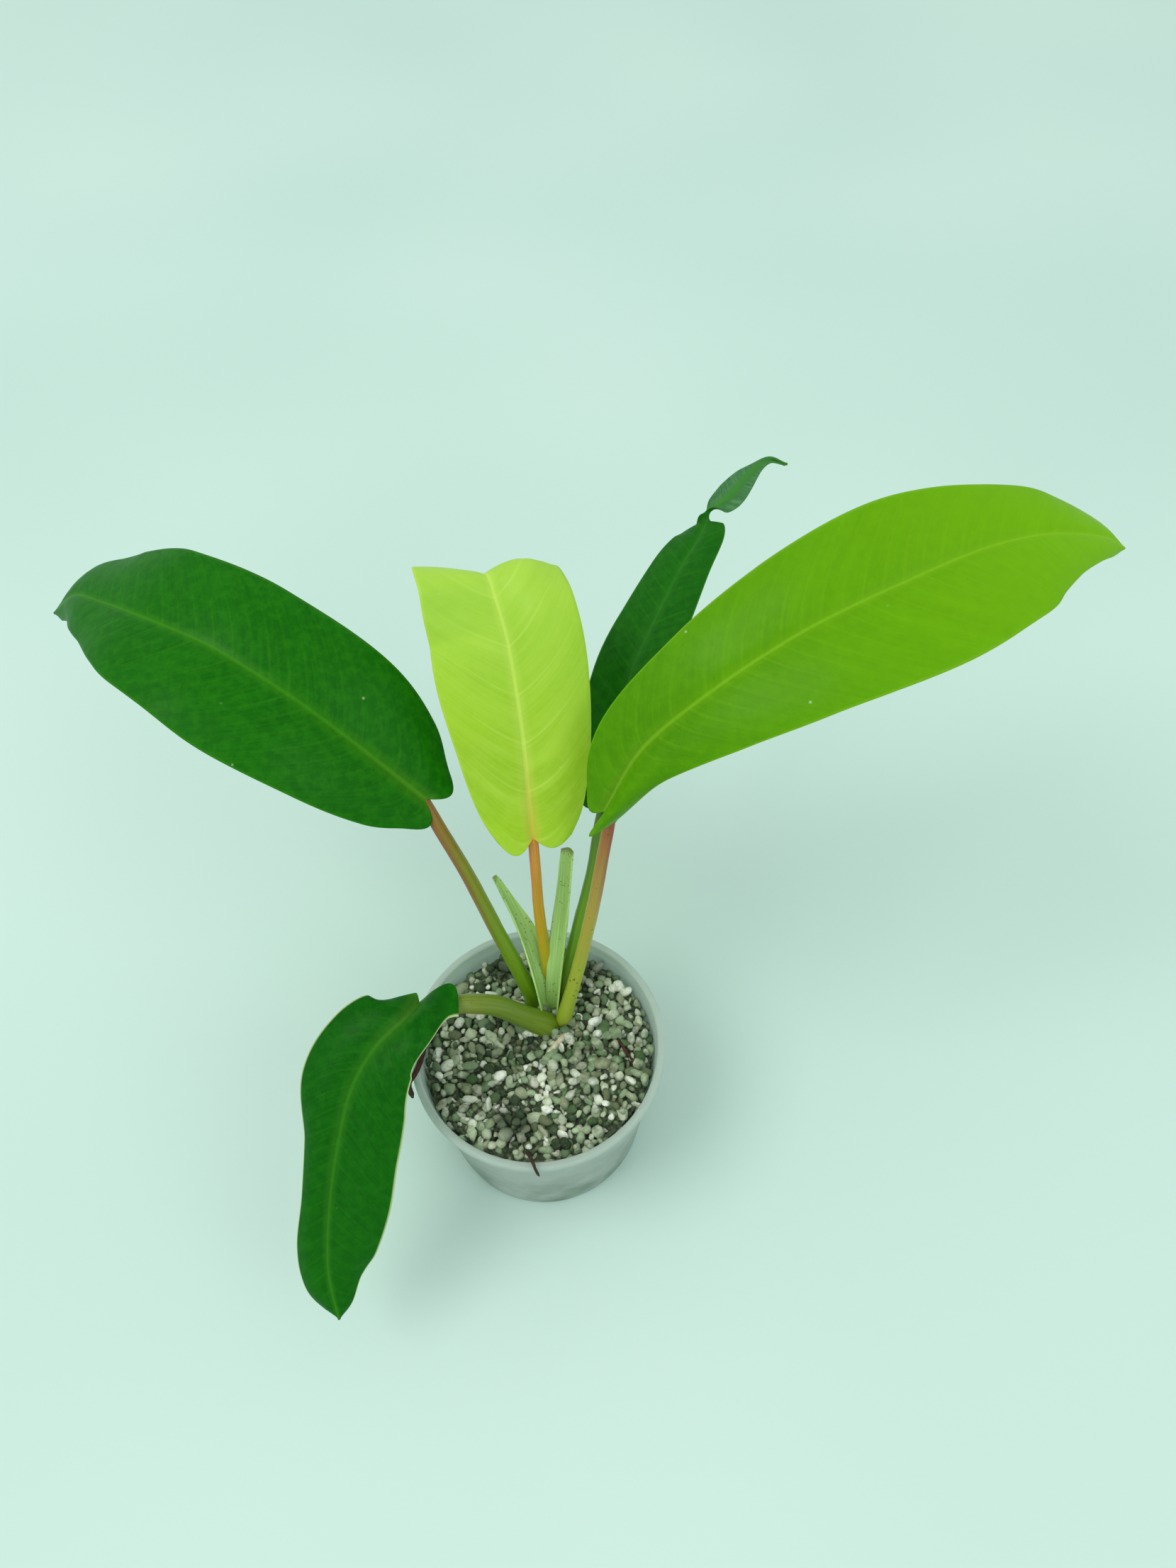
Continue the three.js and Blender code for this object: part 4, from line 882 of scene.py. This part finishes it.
# Millimetres from the crown: X right, Y back, Z up from the gravel. `reach` is the stalk's path, `midrib` the blade's,
# and `face` the way its upper side looks; `widths` rows are the share of the midrib and the half widths to its left
# and right. `lobes` and `curl` are how far the base's two halves hang back and stand up.
leaves = {
    "left": {
        "clasp": 0.25,
        "reach": [[-6, 6, -7], [-8, 6, 2], [-12, 9, 17], [-20, 16, 43], [-28, 24, 68], [-36, 32, 87], [-41, 39, 98]],
        "size": [3.3, 2.3],
        "midrib": [[-41, 39, 98], [-64, 49, 120], [-81, 57, 133], [-98, 66, 141], [-113, 74.5, 145], [-136, 88, 144],
                   [-156, 103, 137], [-172, 115, 129], [-185, 118, 117]],
        "face": [[0, [0.1, -0.3, 1]], [0.5, [0, -0.2, 1]], [0.85, [-0.3, -0.1, 1]], [1, [-0.7, 0, 0.7]]],
        "widths": [[0, 13, 15], [0.07, 21, 24], [0.2, 28, 31], [0.4, 32.5, 32], [0.6, 27.5, 30.5], [0.69, 22.5, 29.5],
                   [0.78, 17, 25], [0.9, 11, 15], [0.965, 6, 6], [1, 0.5, 0.5]],
        "lobes": [7, 7], "curl": [0, 0], "fold": 6, "puff": [1, 1], "cup": 3, "wave": [1, 2], "veinDepth": 0.05,
        "slot": "leaf_dark", "stalkSlot": "stalk_green",
        "look": {
            "deep": "#085602", "light": "#126803", "cloud": "#0a5c02", "streak": "#267a08", "streaks": 0.3,
            "tip": "#126804", "tipShare": 0.2, "vein": "#4c9a1c", "veins": 0.07, "veinSpacing": 7.5, "rib": "#428e14",
            "ribFoot": "#5a9420", "ribWidth": 1.3, "ribStrength": 0.4, "halo": 0.25, "margin": "#3e8a1c",
            "margins": 0.5, "specks": 0.3, "mottle": 0.4, "glow": 0.05, "under": "#4c8a48", "underLight": "#6fa25e",
        },
        "stalkLook": {
            "colours": [(0.0, "#5c9400"), (0.45, "#629000"), (0.75, "#747c0c"), (1.0, "#84481c")], "streak": "#9a9430",
            "streaks": 0.35, "flushSide": (-0.8, -0.6, 0.1), "flushFrom": 0.3, "flush": 0.75, "flushColour": "#84401c",
            "freckles": 0.5,
        },
    },
    "centre": {
        "clasp": 0.3,
        "reach": [[-2, 6, -7], [-2, 9, 2], [-2, 13, 25], [-3, 17, 51], [-3, 20, 75], [-3, 24, 93]],
        "size": [2.5, 1.8],
        "midrib": [[-3, 24, 93], [-4, 35, 105], [-5, 48, 120], [-7, 61, 135], [-9, 71, 146], [-12, 80, 154],
                   [-15, 89, 158], [-19, 98, 148], [-23, 107, 130], [-27, 115, 111]],
        "face": [[0, [0.1, -1, 0.5]], [0.5, [0, -0.8, 0.6]], [0.7, [0.25, 0.4, 0.9]], [0.85, [0.1, 1, 0.3]],
                 [1, [0.1, 1, 0.2]]],
        "widths": [[0, 13, 14], [0.07, 18, 19], [0.2, 23, 23], [0.4, 27, 26], [0.6, 25, 25], [0.7, 24, 21],
                   [0.8, 20, 16], [0.9, 14, 10], [0.965, 7, 5], [1, 0.5, 0.5]],
        "lobes": [5.5, 4], "curl": [0, 0], "fold": 8, "puff": [0, 4], "cup": 3, "wave": [1, 1], "veinDepth": 0.12,
        "slot": "leaf_young", "stalkSlot": "stalk_ochre",
        "look": {
            "deep": "#82ae0a", "light": "#acce48", "cloud": "#98c020", "streak": "#b4d654", "streaks": 0.25,
            "tip": "#acd858", "tipShare": 1.0, "vein": "#d0ec78", "veins": 0.16, "veinSpacing": 17, "rib": "#cce66c",
            "ribFoot": "#d0a848", "ribWidth": 1.2, "ribStrength": 0.5, "halo": 0.25, "margin": "#c8e860",
            "margins": 0.4, "specks": 0.1, "mottle": 0.1, "glow": 0.3, "under": "#b6da52", "underLight": "#cde67c",
        },
        "stalkLook": {
            "colours": [(0.0, "#84a41c"), (0.25, "#acaa1c"), (0.6, "#bc9618"), (1.0, "#bc7424")], "streak": "#e0b040",
            "streaks": 0.4, "flushSide": (-1, -0.2, 0), "flushFrom": 0.55, "flush": 0.5, "flushColour": "#c8603c",
            "freckles": 0.3,
        },
    },
    "back": {
        "clasp": 0.3,
        "reach": [[3, 3, -7], [4.5, 3, 0], [7, 10, 18], [12, 19, 41], [18, 31, 63], [21, 44, 83]],
        "size": [2.9, 2],
        "midrib": [[21, 44, 83], [27, 63, 99], [34, 84, 111], [44, 103, 120], [54, 121, 127], [62, 134, 130],
                   [68, 146, 132], [75, 151, 135], [83, 162, 135], [92, 173, 133], [100, 179, 126]],
        "face": [[0, [-0.7, -0.6, 0.8]], [0.685, [-0.7, -0.6, 0.8]], [0.7, [0.6, -0.6, 0.3]], [0.715, [0.9, 0, -0.4]],
                 [0.745, [0.1, 0.7, -0.8]], [1, [0, 0.7, -0.8]]],
        "widths": [[0, 10, 10], [0.07, 14, 14], [0.2, 16, 16], [0.4, 16, 15], [0.6, 12.5, 11], [0.66, 9, 9.5],
                   [0.69, 4, 6], [0.705, 1.8, 2.2], [0.73, 4, 4], [0.77, 5.5, 5.5], [0.83, 4.5, 4.5],
                   [0.89, 2.2, 2.2], [0.95, 1.2, 1.2], [1, 0.5, 0.5]],
        "lobes": [2, 8], "curl": [0, 0], "fold": 8, "puff": [0, 0], "cup": 2, "wave": [1, 1.5], "veinDepth": 0.08,
        "slot": "leaf_dark", "stalkSlot": "stalk_green",
        "look": {
            "deep": "#0a5004", "light": "#146206", "cloud": "#0c5804", "streak": "#26740e", "streaks": 0.25,
            "tip": "#1a6a1a", "tipShare": 0.3, "vein": "#3f8c20", "veins": 0.1, "veinSpacing": 6.5, "rib": "#2f7c1c",
            "ribFoot": "#4c842a", "ribWidth": 1.2, "ribStrength": 0.45, "halo": 0.2, "margin": "#4f9430",
            "margins": 0.5, "specks": 0.1, "mottle": 0.35, "glow": 0.05, "under": "#2c6634", "underLight": "#48864c",
        },
        "stalkLook": {
            "colours": [(0.0, "#74a020"), (0.4, "#64960c"), (1.0, "#4f7c10")], "streak": "#7fa040", "streaks": 0.4,
            "flushSide": (1, 0, 0), "flushFrom": 0.6, "flush": 0.2, "flushColour": "#8a5a30", "freckles": 0.3,
        },
    },
    "right": {
        "clasp": 0.35,
        "reach": [[3, -1, -7], [4.2, -2, 0], [9.3, 4, 21], [14.3, 8, 48], [18.6, 12, 75], [22, 18, 98], [23, 22, 111]],
        "size": [2.8, 2.1],
        "midrib": [[22, 21, 113], [35, 30, 136], [58, 37, 157], [81, 45, 170], [98, 51, 176], [115, 57, 180],
                   [140, 68, 182], [159, 75, 181], [173, 79, 178], [188, 83, 172], [198, 85, 165]],
        "face": [[0, [-0.5, -0.6, 0.8]], [0.4, [-0.2, -0.4, 1]], [1, [0.3, -0.3, 1]]],
        "widths": [[0, 9, 5], [0.07, 15, 10], [0.2, 20, 18], [0.4, 26, 28], [0.6, 28, 32], [0.76, 21, 27],
                   [0.83, 17.5, 20], [0.88, 13.5, 13.5], [0.93, 9, 8.5], [0.97, 5, 5], [1, 0.5, 0.5]],
        "lobes": [3.5, 7], "curl": [0, 7], "fold": 6, "puff": [1, 1], "cup": 2, "wave": [1, 2], "veinDepth": 0.08,
        "slot": "leaf_lime", "stalkSlot": "stalk_ochre",
        "look": {
            "deep": "#428000", "light": "#549400", "cloud": "#448200", "streak": "#5e9c04", "streaks": 0.25,
            "tip": "#84c208", "tipShare": 0.6, "vein": "#86c020", "veins": 0.08, "veinSpacing": 7, "rib": "#86c020",
            "ribFoot": "#96c43c", "ribWidth": 1.1, "ribStrength": 0.4, "halo": 0.14, "margin": "#8ec430",
            "margins": 0.4, "specks": 0.5, "mottle": 0.25, "glow": 0.2, "under": "#86c03c", "underLight": "#a8d468",
        },
        "stalkLook": {
            "colours": [(0.0, "#8ea92d"), (0.3, "#a6b43e"), (0.6, "#ac963e"), (1.0, "#8e4026")], "streak": "#88a030",
            "streaks": 0.45, "flushSide": (0.9, -0.3, 0.1), "flushFrom": 0.55, "flush": 0.85, "flushColour": "#8c3420",
            "freckles": 1.0,
        },
    },
    "front": {
        "clasp": 0.5,
        "reach": [[-3, -3.5, -7], [-5, -4.5, 1], [-12, -6, 12], [-21, -8, 26], [-31, -11, 35], [-40, -12, 36],
                  [-49, -13, 36]],
        "size": [4.8, 3.3],
        "midrib": [[-48, -12, 41], [-53, -22, 46], [-63, -31, 43], [-72, -43, 34], [-77.5, -59, 22], [-81, -73, 10],
                   [-83, -87, -2], [-83, -97, -11], [-80, -109, -20]],
        "face": [[0, [-0.1, 0.05, 1]], [0.2, [0, -0.2, 1]], [0.5, [-0.1, -0.3, 1]], [1, [0, -0.5, 1]]],
        "widths": [[0, 16.5, 4], [0.035, 13.5, 11.5], [0.095, 13.5, 16], [0.2, 18, 19.5], [0.335, 22, 20.5],
                   [0.5, 23.5, 13.5], [0.65, 23, 11], [0.8, 18, 12], [0.9, 11, 10], [0.965, 6, 5], [1, 0.5, 0.5]],
        "lobes": [10, 1], "curl": [3.5, 3], "fold": 6, "puff": [1, 2], "cup": 3, "wave": [1, 2], "veinDepth": 0.05,
        "slot": "leaf_dark", "stalkSlot": "stalk_green",
        "look": {
            "deep": "#034c02", "light": "#085c03", "cloud": "#045002", "streak": "#1a6c0c", "streaks": 0.3,
            "tip": "#106608", "tipShare": 0.3, "vein": "#4c9a28", "veins": 0.05, "veinSpacing": 7, "rib": "#3f8a1c",
            "ribFoot": "#5f9434", "ribWidth": 1.3, "ribStrength": 0.35, "halo": 0.25, "margin": "#c4d698",
            "margins": 0.9, "specks": 0.1, "mottle": 0.4, "glow": 0.05, "under": "#4f8c4a", "underLight": "#74a868",
        },
        "stalkLook": {
            "colours": [(0.0, "#6a8819"), (0.5, "#62801a"), (1.0, "#6f7b1a")], "streak": "#8ca044", "streaks": 0.3,
            "flushSide": (0, -0.7, -0.7), "flushFrom": 0.6, "flush": 0.8, "flushColour": "#c07048", "freckles": 0.6,
        },
    },
}

surfaceTree, roundTree = bladeTree(), stalkTree()


def addBlade(name, leaf):
    look = leaf["look"]
    blade = grow(f"leaf_{name}", bladeGrid(name, leaf), surfaceTree, {
        "Fold": math.radians(leaf["fold"]), "Cup": leaf["cup"] * mm, "Wave Height": leaf["wave"][0] * mm,
        "Wave Count": float(leaf["wave"][1]), "Vein Spacing": float(look["veinSpacing"]),
        "Vein Depth": leaf["veinDepth"] * mm, "Groove Depth": everyLeaf["grooveDepth"] * mm,
        "Groove Width": everyLeaf["grooveWidth"] * mm, "Thickness": everyLeaf["thickness"] * mm,
        "Rib Depth": everyLeaf["ribDepth"] * mm, "Upper Finish": leafMaterial(f"waxy leaf {name}", look),
        "Under Finish": underMaterial(f"leaf underside {name}", look)})
    finishPiece(blade, leaf["slot"], f"blade_{name}")


# The stalk runs up to the blade and on under it, where it thins into the midrib
def addStalk(name, leaf):
    reach = smoothCurve(leaf["reach"])
    shares = np.linspace(0, 1, 34)
    place = curveAt(reach, shares)[0]
    foot, top = leaf["size"]
    radii = (foot + (top - foot) * shares) * (1 + leaf["clasp"] * np.exp(-shares / 0.1))  # wider at the foot
    midrib = smoothCurve(leaf["midrib"])
    onShares = np.linspace(0.012, everyStalk["underBlade"], 16)
    onPlace, onAlong = curveAt(midrib, onShares)
    up = faceAt(leaf["face"], onShares, onAlong)
    onRadii = top * (1 - onShares / everyStalk["underBlade"]) ** 0.8 * 0.85 + everyStalk["thinEnd"]
    baseUp = up[0]
    ramp = np.clip((shares - 0.8) / 0.2, 0, 1) ** 2
    place = place - baseUp * (ramp * (top + 0.6))[:, None]
    onPlace = onPlace - up * (onRadii + 0.75)[:, None]  # stays under the groove
    path = np.vstack([place, onPlace]) + plantAt
    line = pathLine(name, path, np.concatenate([radii, onRadii]), np.concatenate([shares, 1 + onShares]))
    stalk = grow(f"stalk_{name}", line, roundTree, {
        "Sides": everyStalk["sides"], "Ridges": float(everyStalk["ridges"]),
        "Ridge Height": everyStalk["ridgeHeight"] * mm, "Knob Size": everyStalk["knobSize"] * mm,
        "Knob Height": everyStalk["knobHeight"] * mm,
        "Finish": stalkMaterial(f"leaf stalk {name}", leaf["stalkLook"])})
    finishPiece(stalk, leaf["stalkSlot"], f"petiole_{name}")


for name, leaf in leaves.items():
    addBlade(name, leaf)
    addStalk(name, leaf)
    print("leaf grown:", name)


everySheath = {"fold": 38, "thickness": 0.8, "ribDepth": 0.2}  # degrees, mm
sheaths = {
    "left": {
        "midrib": [[-4, -1, -6], [-4, 2, 0], [-7, 10, 19], [-12, 20, 38], [-20, 32, 55]],
        "face": [[0, [0.8, -0.5, 0.3]], [1, [0.8, -0.3, 0.3]]],
        "widths": [[0, 5, 5], [0.07, 6.5, 6], [0.2, 7, 7], [0.4, 6.5, 7.5], [0.6, 5, 6.5], [0.78, 3.5, 4],
                   [0.9, 2.5, 2.5], [0.965, 1.8, 1.8], [1, 1, 1]],
    },
    "right": {
        "midrib": [[1, 1, -6], [1, 2, 0], [3, 10, 23], [6, 20, 48], [9, 29, 78]],
        "face": [[0, [-0.7, -0.5, 0.2]], [1, [-0.3, -0.8, 0.2]]],
        "widths": [[0, 3.5, 3.5], [0.07, 4, 4], [0.2, 4.5, 4.5], [0.4, 4.5, 4.5], [0.6, 4, 4], [0.78, 3.2, 3.2],
                   [0.9, 3, 3], [0.965, 2.8, 2.8], [1, 2.6, 2.6]],
    },
}


# Papery leaf sheath: pale green and ribbed lengthwise, freckled brown, dry at the tip
def sheathMaterial():
    material, tree, shader = newMaterial(
        "papery leaf sheath", Roughness=0.6, IOR=1.4, Subsurface_Weight=0.2, Subsurface_Radius=(1.0, 1.4, 0.5),
        Subsurface_Scale=1 * mm)
    add = partial(addNode, tree)
    share = add(readAttribute, output="Fac", attribute_name="share")
    fromRib = add(readAttribute, output="Fac", attribute_name="fromRib")
    place = add(coordinates, output="Object")
    lines = add(combine, {0: fromRib, 1: share})
    linesAt = add(mapping, {"Vector": lines, "Scale": (1.6, 3, 1)})
    fibre = add(noise, {"Vector": linesAt, "Scale": 1.0, "Detail": 3.0})
    tone = add(spread, {0: fibre, 1: 0.35, 2: 0.7, 3: 0.0, 4: 1.0})
    colour = add(mix, {0: tone, 6: paint("#98c46c"), 7: paint("#bee090")}, output=2, data_type="RGBA")
    foot = add(spread, {0: share, 1: 0.0, 2: 0.35, 3: 0.7, 4: 0.0})
    freckle = dotMask(tree, place, 1.6, (0.12, 0.26), 6, (0.46, 0.58), 0.8)
    dry = add(spread, {0: share, 1: 0.975, 2: 1.0, 3: 0.0, 4: 0.7})
    layers = [(foot, paint("#86ac48")), (freckle, paint("#4d5a2e")), (dry, paint("#6f6a3c"))]
    for mask, shade in layers:
        colour = add(mix, {0: mask, 6: colour, 7: shade}, output=2, data_type="RGBA")
    link(tree, colour, shader, "Base Color")
    bump = add(bumps, {"Height": fibre, "Strength": 0.5, "Distance": 0.3 * mm})
    link(tree, bump, shader, "Normal")
    return material


paper = sheathMaterial()
for name, sheath in sheaths.items():
    sheath.update({"lobes": [0, 0], "curl": [0, 0], "puff": [0, 0]})
    piece = grow(f"sheath_{name}_skin", bladeGrid(name, sheath, rows=70, columns=24), surfaceTree, {
        "Fold": math.radians(everySheath["fold"]), "Cup": 0.0, "Wave Height": 0.0, "Wave Count": 0.0,
        "Groove Depth": 0.0, "Groove Width": 1 * mm, "Vein Spacing": 5.0, "Vein Depth": 0.0,
        "Thickness": everySheath["thickness"] * mm, "Rib Depth": everySheath["ribDepth"] * mm,
        "Upper Finish": paper, "Under Finish": paper})
    finishPiece(piece, "sheath_pale", f"sheath_{name}")
print("sheaths grown")


def onRim(points):  # out from the rim's edge, degrees round the pot, up from the rim
    polar = [(pot["rimRadius"] + out, math.radians(turn), pot["height"] + up) for out, turn, up in points]
    return [(radius * math.cos(turn), radius * math.sin(turn), z) for radius, turn, z in polar]


def onGravel(points):  # X and Y from the pot's axis, up from the gravel
    return [(x, y, crown[2] + up) for x, y, up in points]


barkDark = rootMaterial("aerial root bark", "#1c0c06", "#4a2012")
barkPale = rootMaterial("young root", "#a8a086", "#d6cfb8")
roots = {
    "aerial_root": {
        "path": onRim([[-8.2, 163, -11], [-6.6, 170, -4], [-5.6, 178, 0.6], [-5, 186, 2.6], [-2.4, 193.5, 2.7],
                       [1.6, 197, 0.6], [2.4, 198, -3.5], [2.3, 199, -11]]),
        "size": [1.4, 1.0], "slot": "root_brown", "finish": barkDark},
    "rim_rootlet": {
        "path": onRim([[-9.5, 263.7, -11], [-6.6, 265.1, -3], [-3.4, 267.2, 1.7], [0.1, 268.9, 1.5],
                       [1.6, 270.4, -2.6]]),
        "size": [0.8, 0.5], "slot": "root_brown", "finish": barkDark},
    "loose_rootlet": {
        "path": onGravel([[31, 4, 0.4], [34, -2, 1.4], [38, -8, 0.9]]), "size": [0.6, 0.6], "slot": "root_brown",
        "finish": barkDark},
    "young_root": {
        "path": onGravel([[9, 7, -3], [9.5, 4, 0.8], [7, 1, 1.6], [4, -2.5, 1.2], [2, -5, -2]]), "size": [1.3, 0.9],
        "slot": "root_pale", "finish": barkPale},
}
for name, root in roots.items():
    shares = np.linspace(0, 1, 40)
    place = curveAt(smoothCurve(root["path"]), shares)[0]
    thick, thin = root["size"]
    radii = thick + (thin - thick) * shares
    radii[-3:] *= (0.85, 0.65, 0.3)  # a rounded end
    piece = grow(f"{name}_bark", pathLine(name, place, radii, shares), roundTree, {
        "Sides": 14, "Ridges": 5.0, "Ridge Height": 0.04 * mm, "Knob Size": 2.2 * mm, "Knob Height": 0.5 * mm,
        "Finish": root["finish"]})
    finishPiece(piece, root["slot"], name)

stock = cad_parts["stem_and_buried_roots"]
stock.data.materials.clear()
stock.data.materials.append(barkDark)
print("roots laid")
